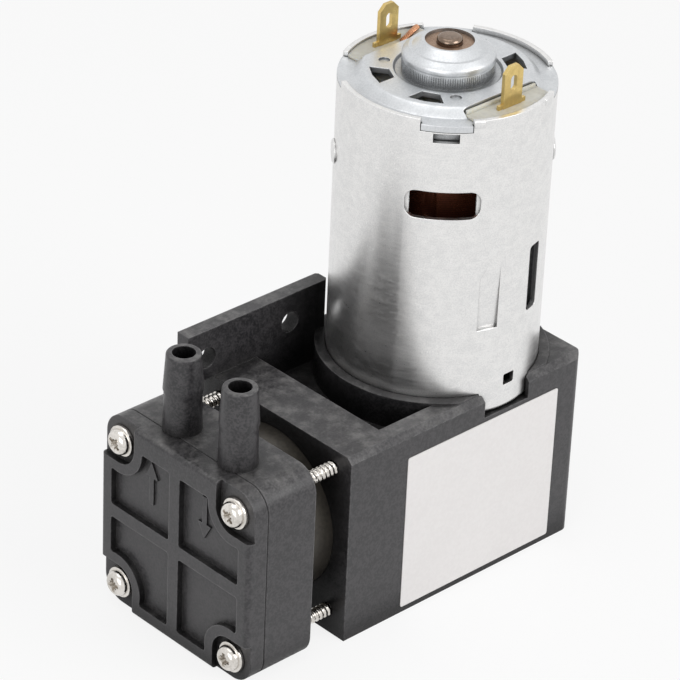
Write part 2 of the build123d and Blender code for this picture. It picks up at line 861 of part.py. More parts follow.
def make_motor_can():
    foot = seat_height
    nose_hole = bush_radius + fit_gap
    corners = [(shaft_radius + 0.8, nose_bottom), (nose_radius, nose_bottom), (nose_radius, foot),
               (can_radius, foot), (can_radius, can_top), (inner_radius, can_top),
               (inner_radius, foot + can_floor), (nose_hole, foot + can_floor), (nose_hole, nose_bottom + 1.0),
               (shaft_radius + 0.8, nose_bottom + 1.0)]
    rounds = [((can_radius, foot), can_edge_round), ((nose_radius, nose_bottom), 0.6),
              ((inner_radius, foot + can_floor), 0.8)]
    can = turned(corners, rounds)
    for turn in (0, 180):
        vent = RectangleRounded(cooling_width, cooling_height, cooling_round)
        can -= window(vent, cooling_angle + turn, foot + cooling_level)
        slot = RectangleRounded(lance_width, lance_height, 0.8)
        can -= window(slot, lance_angle + turn, foot + lance_level)
        hole = RectangleRounded(locator_width, locator_height, 0.3)
        can -= window(hole, locator_angle + turn, foot + locator_level)
        can += punched_lug(punch_angle + turn)
        can -= dent_cutter(dent_angle + turn)
        start = rim_notch_angle + turn - rim_notch_half
        stop = rim_notch_angle + turn + rim_notch_half
        can -= sector(can_radius + 1, inner_radius - 1, start, stop, (can_top - rim_notch_depth, can_top + 5))
        can -= sector(can_radius + 1, inner_radius - 1, start + 90 + rim_notch_half - rim_cut_half,
                      stop + 90 - rim_notch_half + rim_cut_half, (can_top - rim_cut_depth, can_top + 5))
        lock = Rectangle(lock_hole_width, lock_hole_height)
        can -= window(lock, rim_notch_angle + turn, can_top - lock_hole_drop)
    for x, y in motor_screw_spots():
        can -= post(motor_screw_radius + fit_gap, (foot - 1, foot + can_floor + 1), x, y)
    return can


def punched_lug(angle):
    # Half-sheared lug that stands out of the can.
    plane = outward(angle, can_radius - can_wall / 2, seat_height + punch_level)
    lug = extrude(plane * Circle(punch_radius), can_wall / 2 + punch_proud)
    return chamfer(lug.faces().sort_by_distance(plane.origin + 10 * plane.z_dir)[0].edges(), punch_proud * 0.6)


def dent_cutter(angle):
    # Half-sheared dent: deepest at its flat foot and fading out upwards.
    half = dent_width / 2
    low = -dent_height / 2
    outline = make_face(Polyline((-half, low), (-half, low + 0.72 * dent_height), (0, low + dent_height),
                                 (half, low + dent_height), (half, low), close=True))
    outline = fillet(outline.vertices().sort_by_distance((-half, low + 0.72 * dent_height))[0], dent_round)
    plane = outward(angle, can_radius, seat_height + dent_level)
    shape = extrude(plane * outline, 2 * dent_depth, both=True)
    slope = plane * Pos(0, low, -dent_depth) * Rot(2.5, 0, 0)
    keep = slope * Pos(0, dent_height, dent_height / 2) * Box(3 * dent_width, 3 * dent_height, dent_height)
    return shape & keep


def bell_vent(angle):
    # Trapezium vent, narrower towards the middle.
    rise_in = bell_vent_inner * cos(radians(bell_vent_half_in))
    half_in = bell_vent_inner * sin(radians(bell_vent_half_in))
    rise_out = bell_vent_outer * cos(radians(bell_vent_half_out))
    half_out = bell_vent_outer * sin(radians(bell_vent_half_out))
    outline = make_face(Polyline((rise_in, -half_in), (rise_out, -half_out), (bell_vent_outer, 0),
                                 (rise_out, half_out), (rise_in, half_in), close=True))
    cutter = extrude(Pos(0, 0, band_bottom) * outline, plateau_top + 1 - band_bottom)
    return Rot(0, 0, angle) * cutter


def brush_side_block(side, z, gap=0.0):
    # Segment of the end bell taken by the moulded brush carrier.
    near = carrier_chord - gap
    wide = carrier_half + gap
    span = block((-wide, wide), (near, can_radius), z)
    span = span & post(inner_radius - fit_gap, z)
    return span if side > 0 else Rot(0, 0, 180) * span


def make_end_bell():
    groove = bell_groove_radius
    groove_floor = plateau_top - bell_groove_depth
    underside = plateau_top - bell_thickness
    wall_top = plateau_top + boss_wall_height
    shoulder = plateau_top + boss_shoulder_height
    bulge = boss_wall_radius + boss_bulge
    bulge_top = (wall_top + shoulder) / 2
    rim = inner_radius - fit_gap
    cavity = bush_radius + fit_gap
    cavity_top = boss_top - bush_nose_drop - 1.6
    corners = [(cavity, underside), (plateau_edge - bell_thickness / 2, underside),
               (plateau_foot - bell_thickness / 2, band_bottom), (rim, band_bottom), (rim, band_top),
               (plateau_foot, band_top), (plateau_edge, plateau_top), (groove + 0.2, plateau_top),
               (groove - 0.2, groove_floor), (boss_wall_radius, groove_floor), (boss_wall_radius, wall_top),
               (bulge, wall_top + boss_bulge), (bulge, bulge_top), (boss_shoulder_radius, shoulder),
               (boss_shoulder_radius - 0.6, shoulder + 0.05), (boss_top_radius, boss_top),
               (boss_opening, boss_top), (boss_opening, cavity_top), (cavity, cavity_top)]
    rounds = [((plateau_edge, plateau_top), 1.0), ((plateau_foot, band_top), 0.6), ((bulge, bulge_top), 1.0),
              ((boss_top_radius, boss_top), 0.3)]
    bell = turned(corners, rounds)
    for angle in bell_vent_angles:
        bell -= bell_vent(angle)
    for radius, angle in bell_dimples:
        turn = radians(angle)
        depth = (plateau_top - bell_dimple_depth, plateau_top + 1)
        bell -= post(bell_dimple_radius, depth, radius * cos(turn), radius * sin(turn))
    for index in range(4):
        wide = rim_notch_half if index % 2 == 0 else rim_cut_half
        deep = rim_notch_depth if index % 2 == 0 else rim_cut_depth
        middle = rim_notch_angle + 90 * index
        span = (can_top - deep + slip_gap, band_top)
        bell += sector(can_radius - fit_gap, rim - 1, middle - wide + 0.4, middle + wide - 0.4, span)
    for side in (-1, 1):
        bell -= brush_side_block(side, (band_bottom - 1, plateau_top + 1), slip_gap)
    return bell


def make_motor_screws():
    screws = []
    for x, y in motor_screw_spots():
        shank = post(motor_screw_radius, (chamber_top, chamber_top + motor_screw_length - 2), x, y)
        head = post(motor_head_radius, (chamber_top - motor_head_height, chamber_top), x, y)
        head = fillet(head.faces().sort_by(Axis.Z)[0].edges(), 0.9)
        cross = Pos(x, y, chamber_top - motor_head_height) * (Box(4.0, 0.9, 2.0) + Box(0.9, 4.0, 2.0))
        screws.append(head + shank - cross)
    return Compound(children=screws)


def make_front_bearing():
    return ring(bush_radius, shaft_radius + fit_gap, (nose_bottom + 1.0, nose_bottom + 5.0))


def make_rear_bearing():
    shelf = boss_top - bush_nose_drop - 1.6 - fit_gap
    bush = ring(bush_radius, shaft_radius + fit_gap, (plateau_top - bell_thickness, shelf))
    return bush + ring(boss_opening - fit_gap, shaft_radius + fit_gap, (shelf - 0.5, boss_top - bush_nose_drop))


def make_magnet(middle):
    z = (seat_height + magnet_low, seat_height + magnet_low + magnet_height)
    outer = inner_radius - fit_gap
    return sector(outer, magnet_inner, middle - magnet_half_angle, middle + magnet_half_angle, z)


def make_magnet_clips():
    clips = []
    z = (seat_height + magnet_low + 2, seat_height + magnet_low + magnet_height - 2)
    outer = inner_radius - fit_gap
    for middle in (-90, 90):
        start = middle - clip_half_angle
        stop = middle + clip_half_angle
        clip = sector(outer, outer - clip_strip, start, stop, z)
        for low in (start, stop - 2):
            clip += sector(outer - clip_strip / 2, magnet_inner + 0.6, low, low + 2, z)
        clips.append(clip)
    return Compound(children=clips)


def make_shaft():
    top = boss_top + shaft_proud
    shaft = post(shaft_radius, (hub_top - crank_bore_depth + 0.2, top))
    return fillet(shaft.faces().sort_by(Axis.Z)[-1].edges(), shaft_end_round)


def armature_sketch():
    step = 360 / armature_slots
    face = Circle(armature_radius) - Circle(armature_radius - tooth_tip_height)
    for index in range(armature_slots):
        gap_turn = radians(step * (index + 0.5))
        wide = 2 * armature_radius * sin(radians(tooth_gap_angle / 2))
        gap = Pos(armature_radius * cos(gap_turn), armature_radius * sin(gap_turn))
        gap = gap * Rot(0, 0, step * (index + 0.5)) * Rectangle(3 * tooth_tip_height, wide)
        face -= gap
    face += Circle(armature_hub_radius)
    for index in range(armature_slots):
        spoke = Rectangle(armature_radius - 1, tooth_width, align=(Align.MIN, Align.CENTER))
        face += Rot(0, 0, step * index) * spoke
    return face - Circle(shaft_radius + fit_gap)


def make_armature_core():
    base = seat_height + armature_low
    return extrude(Pos(0, 0, base) * armature_sketch(), armature_height)


def winding_bulge(base, rise):
    # Copper heads: a rounded ring beyond one end of the core, pinched between the coils.
    inner = shaft_radius + 1.6
    high = base + rise
    corners = [(inner, base), (winding_outer, base), (winding_outer - 1, high), (inner, high)]
    big = min(abs(rise), 5.0) * 0.6
    outline = [((winding_outer - 1, high), big)]
    bulge = turned(corners, outline)
    step = 360 / armature_slots
    for index in range(armature_slots):
        turn = Rot(0, 0, step * index)
        middle = base + rise / 2
        bulge -= turn * Pos(winding_outer + 0.6, 0, middle) * Cylinder(1.6, abs(rise) + 2)
    return bulge


def make_windings():
    base = seat_height + armature_low
    top = base + armature_height
    room = Circle(armature_radius - tooth_tip_height - winding_inset) - Circle(armature_hub_radius + winding_inset)
    step = 360 / armature_slots
    for index in range(armature_slots):
        spoke = Rectangle(armature_radius, tooth_width + 2 * winding_inset, align=(Align.MIN, Align.CENTER))
        room -= Rot(0, 0, step * index) * spoke
    coils = extrude(Pos(0, 0, base - winding_inset) * room, armature_height + 2 * winding_inset)
    coils += winding_bulge(top + winding_inset, winding_rise_top)
    coils += winding_bulge(base - winding_inset, -winding_rise_low)
    return coils


def make_commutator():
    top = can_top - commutator_below_rim
    drum = ring(commutator_radius, shaft_radius + fit_gap, (top - commutator_height, top))
    step = 360 / armature_slots
    for index in range(armature_slots):
        slot = Pos(commutator_radius, 0, top - commutator_height / 2 + 1) * Box(1.2, commutator_slot, commutator_height)
        drum -= Rot(0, 0, step * (index + 0.5)) * slot
    return drum


def make_brush_carrier():
    ring_top = band_bottom - slip_gap
    ring_low = ring_top - carrier_ring_height
    carrier = ring(inner_radius - fit_gap, carrier_bore, (ring_low, ring_top))
    carrier &= block((-carrier_half, carrier_half), (-can_radius, can_radius), (ring_low, ring_top))
    box_x = brush_width / 2 + brush_box_wall
    box_low = brush_level - brush_height / 2 - brush_box_wall
    for side in (-1, 1):
        carrier += brush_side_block(side, (ring_top - 0.5, carrier_top))
        box = block((-box_x, box_x), (carrier_bore, inner_radius - 1.2), (box_low, ring_low + 0.5))
        carrier += box if side > 0 else Rot(0, 0, 180) * box
    half_x = brush_width / 2 + brush_gap
    half_z = brush_height / 2 + brush_gap
    reach = spring_stop + fit_gap
    carrier -= block((-half_x, half_x), (-reach, reach), (brush_level - half_z, brush_level + half_z))
    for side in (-1, 1):
        carrier -= terminal_blank(side, fit_gap)
    return carrier


def make_brushes():
    brushes = []
    for side in (-1, 1):
        near = commutator_radius + 0.05
        half = brush_width / 2
        z = (brush_level - brush_height / 2, brush_level + brush_height / 2)
        brush = block((-half, half), (near - 1, spring_start), z)
        brush -= post(near, (z[0] - 1, z[1] + 1))
        brushes.append(brush if side > 0 else Rot(0, 0, 180) * brush)
    return Compound(children=brushes)


def make_brush_springs():
    start = spring_start + fit_gap
    length = spring_stop - start - brush_spring_wire
    springs = []
    path = Helix(length / brush_spring_turns, length, brush_spring_radius)
    wire = sweep(Plane(origin=path @ 0, z_dir=path % 0) * Circle(brush_spring_wire / 2), path=path)
    for side in (-1, 1):
        upright = Pos(0, start + brush_spring_wire / 2, brush_level) * Rot(-90, 0, 0) * wire
        springs.append(upright if side > 0 else Rot(0, 0, 180) * upright)
    return Compound(children=springs)


def terminal_blank(side, gap=0.0):
    half = terminal_width / 2 + gap
    thick = terminal_thickness / 2 + gap
    low = carrier_top - terminal_foot - gap
    tab = block((-half, half), (terminal_offset - thick, terminal_offset + thick), (low, carrier_top + terminal_rise))
    return tab if side > 0 else Rot(0, 0, 180) * tab


def make_terminal(side):
    tab = terminal_blank(side)
    corners = tab.edges().filter_by(Axis.Y).group_by(Axis.Z)[-1]
    tab = chamfer(corners, terminal_corner)
    hole = SlotOverall(terminal_slot_length, terminal_slot_width, rotation=90)
    height = carrier_top + terminal_rise - terminal_slot_drop
    tab -= extrude(Plane.XZ * Pos(0, height) * hole, 2 * terminal_offset, both=True)
    for shift in (-1, 1):
        foot = block((-0.6, 0.6), (-0.3, 0.3), (0, 0.9))
        x = shift * (terminal_width / 2 + 0.5)
        tab += Pos(x, side * terminal_offset, carrier_top) * foot
    return tab


def make_label():
    front = label_front - front_reach
    plate = block((front, front + label_length), (-half_width - label_thickness, -half_width),
                  (label_low, label_low + label_height))
    return fillet(plate.edges().filter_by(Axis.Y), 0.5)


pieces = {
    "crankcase": make_crankcase(),
    "bottom_cover": make_bottom_cover(),
    "cover_screws": make_cover_screws(),
    "cylinder_sleeve": make_sleeve(),
    "sleeve_oring": make_sleeve_oring(),
    "valve_block": make_valve_block(),
    "cover_gasket": make_cover_gasket(),
    "head_cover": make_head_cover(),
    "head_screws": make_head_screws(),
    "plate_gasket": make_plate_gasket(),
    "valve_plate": make_valve_plate(),
    "inlet_flap": make_flap(-1, (sleeve_front + seat_gap, sleeve_front + seat_gap + flap_thickness)),
    "outlet_flap": make_flap(1, (plate_front - seat_gap - flap_thickness, plate_front - seat_gap)),
    "inlet_clamp": make_clamp(-1, (sleeve_front, sleeve_front + clamp_thickness)),
    "outlet_clamp": make_clamp(1, (plate_front - clamp_thickness, plate_front)),
    "clamp_screws": make_clamp_screws(),
    "crank": make_crank(),
    "crank_set_screw": make_set_screw(),
    "crank_clip": make_crank_clip(),
    "crank_bearing": make_crank_bearing(),
    "connecting_rod": make_connecting_rod(),
    "piston_seal": make_piston_seal(),
    "piston_cap": make_piston_cap(),
    "piston_screw": make_piston_screw(),
    "motor_can": make_motor_can(),
    "motor_screws": make_motor_screws(),
    "front_bearing": make_front_bearing(),
    "rear_bearing": make_rear_bearing(),
    "magnet_front": make_magnet(180),
    "magnet_rear": make_magnet(0),
    "magnet_clips": make_magnet_clips(),
    "motor_shaft": make_shaft(),
    "armature_core": make_armature_core(),
    "armature_windings": make_windings(),
    "commutator": make_commutator(),
    "end_bell": make_end_bell(),
    "brush_carrier": make_brush_carrier(),
    "brushes": make_brushes(),
    "brush_springs": make_brush_springs(),
    "terminal_left": make_terminal(1),
    "terminal_right": make_terminal(-1),
    "label": make_label(),
}

os.makedirs("parts", exist_ok=True)
for name, shape in pieces.items():
    export_step(shape, f"parts/{name}.step")
    print(name, len(shape.solids()), round(shape.volume, 2))
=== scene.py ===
import bmesh
import bpy
import json
import math
from mathutils import Matrix, Vector


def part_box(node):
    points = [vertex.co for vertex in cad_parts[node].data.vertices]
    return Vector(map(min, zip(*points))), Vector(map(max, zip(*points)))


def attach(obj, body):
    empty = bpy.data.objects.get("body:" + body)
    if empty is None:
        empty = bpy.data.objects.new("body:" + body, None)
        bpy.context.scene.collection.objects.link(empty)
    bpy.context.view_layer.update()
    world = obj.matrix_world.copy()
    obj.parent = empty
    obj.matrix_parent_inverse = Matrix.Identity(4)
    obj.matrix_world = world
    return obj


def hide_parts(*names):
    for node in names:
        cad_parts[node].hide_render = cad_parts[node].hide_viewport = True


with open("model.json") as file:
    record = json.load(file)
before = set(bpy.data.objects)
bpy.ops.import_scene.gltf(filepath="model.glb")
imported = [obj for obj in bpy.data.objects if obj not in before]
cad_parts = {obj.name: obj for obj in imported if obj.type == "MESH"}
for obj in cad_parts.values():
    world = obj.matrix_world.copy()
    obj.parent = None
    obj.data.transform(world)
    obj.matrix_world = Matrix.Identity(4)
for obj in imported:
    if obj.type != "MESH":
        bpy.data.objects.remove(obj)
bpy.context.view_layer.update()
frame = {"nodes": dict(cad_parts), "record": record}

nodes = frame["nodes"]
slotOf = {part["node"]: part["material_slot"] for part in frame["record"]["subparts"]}
mm = 0.001
print("stage: frame loaded,", len(nodes), "nodes")


# Small helpers for node trees

def newNode(tree, kind, **settings):
    made = tree.nodes.new(kind)
    for key, value in settings.items():
        setattr(made, key, value)
    return made


def plug(tree, target, values):
    # Each input takes either another node's socket or a plain value.
    for key, value in values.items():
        socket = target.inputs[key]
        if isinstance(value, bpy.types.NodeSocket):
            tree.links.new(value, socket)
        else:
            socket.default_value = value
    return target


def shaderNode(tree, kind, values=None, **settings):
    return plug(tree, newNode(tree, "ShaderNode" + kind, **settings), values or {})


def mathNode(tree, operation, first, second=0.0, third=0.0):
    made = newNode(tree, "ShaderNodeMath", operation=operation)
    return plug(tree, made, {0: first, 1: second, 2: third}).outputs[0]


def spread(tree, value, low, high, toLow=0.0, toHigh=1.0, kind="SMOOTHSTEP"):
    made = newNode(tree, "ShaderNodeMapRange", interpolation_type=kind)
    values = {"Value": value, "From Min": low, "From Max": high, "To Min": toLow, "To Max": toHigh}
    return plug(tree, made, values).outputs["Result"]


def blendColour(tree, mask, under, over):
    made = newNode(tree, "ShaderNodeMix", data_type="RGBA")
    tree.links.new(mask, made.inputs["Factor"])
    plug(tree, made, {6: under, 7: over})
    return made.outputs[2]


def tint(red, green, blue):
    return (red, green, blue, 1.0)


def newGroup(name, inputs, outputs):
    tree = bpy.data.node_groups.new(name, "ShaderNodeTree")
    for label, kind, value in inputs:
        socket = tree.interface.new_socket(name=label, in_out="INPUT", socket_type=kind)
        if value is not None:
            socket.default_value = value
    for label, kind in outputs:
        tree.interface.new_socket(name=label, in_out="OUTPUT", socket_type=kind)
    return tree, newNode(tree, "NodeGroupInput"), newNode(tree, "NodeGroupOutput")


# Shared effects: each is a group that puts out a mask or a normal

# The near-black tone below is painted shade, blended into recesses and into faces close to other parts.
shading = {
    "wearHighlightReach": 0.0012, "wearHighlightRadius": 1.6, "dustReach": 0.002, "cornerDust": 0.35,
    "dustTone": tint(0.42, 0.41, 0.4), "cavityTone": tint(0.002, 0.002, 0.002),
    "markShare": 0.35, "markDark": 0.86, "layerDark": 0.35, "layerShare": 0.8,
    "innerReach": (0.0016, 0.0014, 0.001),
}


def buildCloudedTone():
    # Soft patches with finer speckle on top, for uneven tone.
    ins = [("Scale", "NodeSocketFloat", 60.0), ("Fineness", "NodeSocketFloat", 8.0),
           ("Speckle", "NodeSocketFloat", 0.4), ("Low", "NodeSocketFloat", 0.35),
           ("High", "NodeSocketFloat", 0.65)]
    tree, given, result = newGroup("cloudedTone", ins, [("Mask", "NodeSocketFloat")])
    where = newNode(tree, "ShaderNodeTexCoord")
    patches = shaderNode(tree, "TexNoise", {"Vector": where.outputs["Object"], "Scale": given.outputs["Scale"],
                                            "Detail": 4.0, "Roughness": 0.6})
    fine = mathNode(tree, "MULTIPLY", given.outputs["Scale"], given.outputs["Fineness"])
    specks = shaderNode(tree, "TexNoise", {"Vector": where.outputs["Object"], "Scale": fine, "Detail": 2.0})
    mixed = newNode(tree, "ShaderNodeMix", data_type="FLOAT")
    plug(tree, mixed, {0: given.outputs["Speckle"], 2: patches.outputs["Fac"], 3: specks.outputs["Fac"]})
    mask = spread(tree, mixed.outputs[0], given.outputs["Low"], given.outputs["High"])
    tree.links.new(mask, result.inputs["Mask"])
    return tree


def buildEdgeWearHighlight():
    # Convex edges rub bare first, in broken patches, and the lighter edge tone also serves as a painted
    # highlight along edges; inner corners are left out.
    ins = [("Radius", "NodeSocketFloat", 0.0004), ("Amount", "NodeSocketFloat", 0.5),
           ("Breakup", "NodeSocketFloat", 700.0)]
    tree, given, result = newGroup("edgeWearHighlight", ins, [("Mask", "NodeSocketFloat")])
    where = newNode(tree, "ShaderNodeTexCoord")
    rounded = shaderNode(tree, "Bevel", {"Radius": given.outputs["Radius"]}, samples=4)
    surface = newNode(tree, "ShaderNodeNewGeometry")
    turn = newNode(tree, "ShaderNodeVectorMath", operation="DOT_PRODUCT")
    plug(tree, turn, {0: rounded.outputs["Normal"], 1: surface.outputs["Normal"]})
    edge = spread(tree, mathNode(tree, "SUBTRACT", 1.0, turn.outputs["Value"]), 0.015, 0.16)
    noise = shaderNode(tree, "TexNoise", {"Vector": where.outputs["Object"], "Scale": given.outputs["Breakup"],
                                          "Detail": 3.0, "Roughness": 0.7})
    patchy = spread(tree, noise.outputs["Fac"], 0.38, 0.62, 0.15, 1.0)
    openness = shaderNode(tree, "AmbientOcclusion", {"Distance": shading["wearHighlightReach"]}, samples=3)
    outer = spread(tree, openness.outputs["AO"], 0.72, 0.97)
    mask = mathNode(tree, "MULTIPLY", mathNode(tree, "MULTIPLY", edge, patchy), outer)
    mask = mathNode(tree, "MULTIPLY", mask, given.outputs["Amount"])
    tree.links.new(mask, result.inputs["Mask"])
    return tree


def buildSettledDust():
    # Thin dust on what faces up, and in crevices.
    ins = [("Amount", "NodeSocketFloat", 0.2), ("Scale", "NodeSocketFloat", 220.0)]
    tree, given, result = newGroup("settledDust", ins, [("Mask", "NodeSocketFloat")])
    where = newNode(tree, "ShaderNodeTexCoord")
    surface = newNode(tree, "ShaderNodeNewGeometry")
    parts = shaderNode(tree, "SeparateXYZ", {"Vector": surface.outputs["Normal"]})
    up = spread(tree, parts.outputs["Z"], 0.35, 0.95)
    noise = shaderNode(tree, "TexNoise", {"Vector": where.outputs["Object"], "Scale": given.outputs["Scale"],
                                          "Detail": 6.0, "Roughness": 0.75})
    spots = spread(tree, noise.outputs["Fac"], 0.4, 0.75)
    closed = shaderNode(tree, "AmbientOcclusion", {"Distance": shading["dustReach"]}, samples=3)
    corner = spread(tree, closed.outputs["AO"], 0.9, 0.45)
    lying = mathNode(tree, "MULTIPLY", up, spots)
    caught = mathNode(tree, "MULTIPLY", corner, shading["cornerDust"])
    both = mathNode(tree, "MAXIMUM", lying, caught)
    tree.links.new(mathNode(tree, "MULTIPLY", both, given.outputs["Amount"]), result.inputs["Mask"])
    return tree


def buildDrawnMarks():
    # Fine lines from rolling, drawing or turning, stretched along one direction.
    ins = [("Stretch", "NodeSocketVector", (1.0, 1.0, 12.0)), ("Scale", "NodeSocketFloat", 260.0),
           ("Low", "NodeSocketFloat", 0.38), ("High", "NodeSocketFloat", 0.62)]
    tree, given, result = newGroup("drawnMarks", ins, [("Mask", "NodeSocketFloat")])
    where = newNode(tree, "ShaderNodeTexCoord")
    pulled = newNode(tree, "ShaderNodeVectorMath", operation="MULTIPLY")
    plug(tree, pulled, {0: where.outputs["Object"], 1: given.outputs["Stretch"]})
    noise = shaderNode(tree, "TexNoise", {"Vector": pulled.outputs["Vector"], "Scale": given.outputs["Scale"],
                                          "Detail": 5.0, "Roughness": 0.68})
    mask = spread(tree, noise.outputs["Fac"], given.outputs["Low"], given.outputs["High"], kind="LINEAR")
    tree.links.new(mask, result.inputs["Mask"])
    return tree


def buildTouchedSurface():
    # Rounded edges in the shading, with fine relief on top.
    ins = [("Edge Radius", "NodeSocketFloat", 0.0002), ("Grain Scale", "NodeSocketFloat", 1500.0),
           ("Grain Depth", "NodeSocketFloat", 0.00001), ("Wave Scale", "NodeSocketFloat", 80.0),
           ("Wave Depth", "NodeSocketFloat", 0.00001)]
    tree, given, result = newGroup("touchedSurface", ins, [("Normal", "NodeSocketVector")])
    where = newNode(tree, "ShaderNodeTexCoord")
    rounded = shaderNode(tree, "Bevel", {"Radius": given.outputs["Edge Radius"]}, samples=6)
    spot = where.outputs["Object"]
    grain = shaderNode(tree, "TexNoise", {"Vector": spot, "Scale": given.outputs["Grain Scale"], "Detail": 3.0,
                                          "Roughness": 0.6})
    wave = shaderNode(tree, "TexNoise", {"Vector": spot, "Scale": given.outputs["Wave Scale"], "Detail": 1.0})
    coarse = shaderNode(tree, "Bump", {"Height": wave.outputs["Fac"], "Distance": given.outputs["Wave Depth"],
                                       "Normal": rounded.outputs["Normal"]})
    fine = shaderNode(tree, "Bump", {"Height": grain.outputs["Fac"], "Distance": given.outputs["Grain Depth"],
                                     "Normal": coarse.outputs["Normal"]})
    tree.links.new(fine.outputs["Normal"], result.inputs["Normal"])
    return tree


def buildPaintedCavityShade():
    # Painted shade mask: 1 in the open, falling towards 1 - Amount where neighbouring walls close in.
    ins = [("Distance", "NodeSocketFloat", 0.004), ("Amount", "NodeSocketFloat", 0.6)]
    tree, given, result = newGroup("cavityShade", ins, [("Mask", "NodeSocketFloat")])
    around = shaderNode(tree, "AmbientOcclusion", {"Distance": given.outputs["Distance"]}, samples=5)
    closed = spread(tree, around.outputs["AO"], 0.92, 0.3)
    mask = mathNode(tree, "SUBTRACT", 1.0, mathNode(tree, "MULTIPLY", closed, given.outputs["Amount"]))
    tree.links.new(mask, result.inputs["Mask"])
    return tree


cloudedTone = buildCloudedTone()
cavityShade = buildPaintedCavityShade()
edgeWearHighlight = buildEdgeWearHighlight()
settledDust = buildSettledDust()
drawnMarks = buildDrawnMarks()
touchedSurface = buildTouchedSurface()


def useGroup(tree, group, values):
    made = newNode(tree, "ShaderNodeGroup")
    made.node_tree = group
    return plug(tree, made, values)
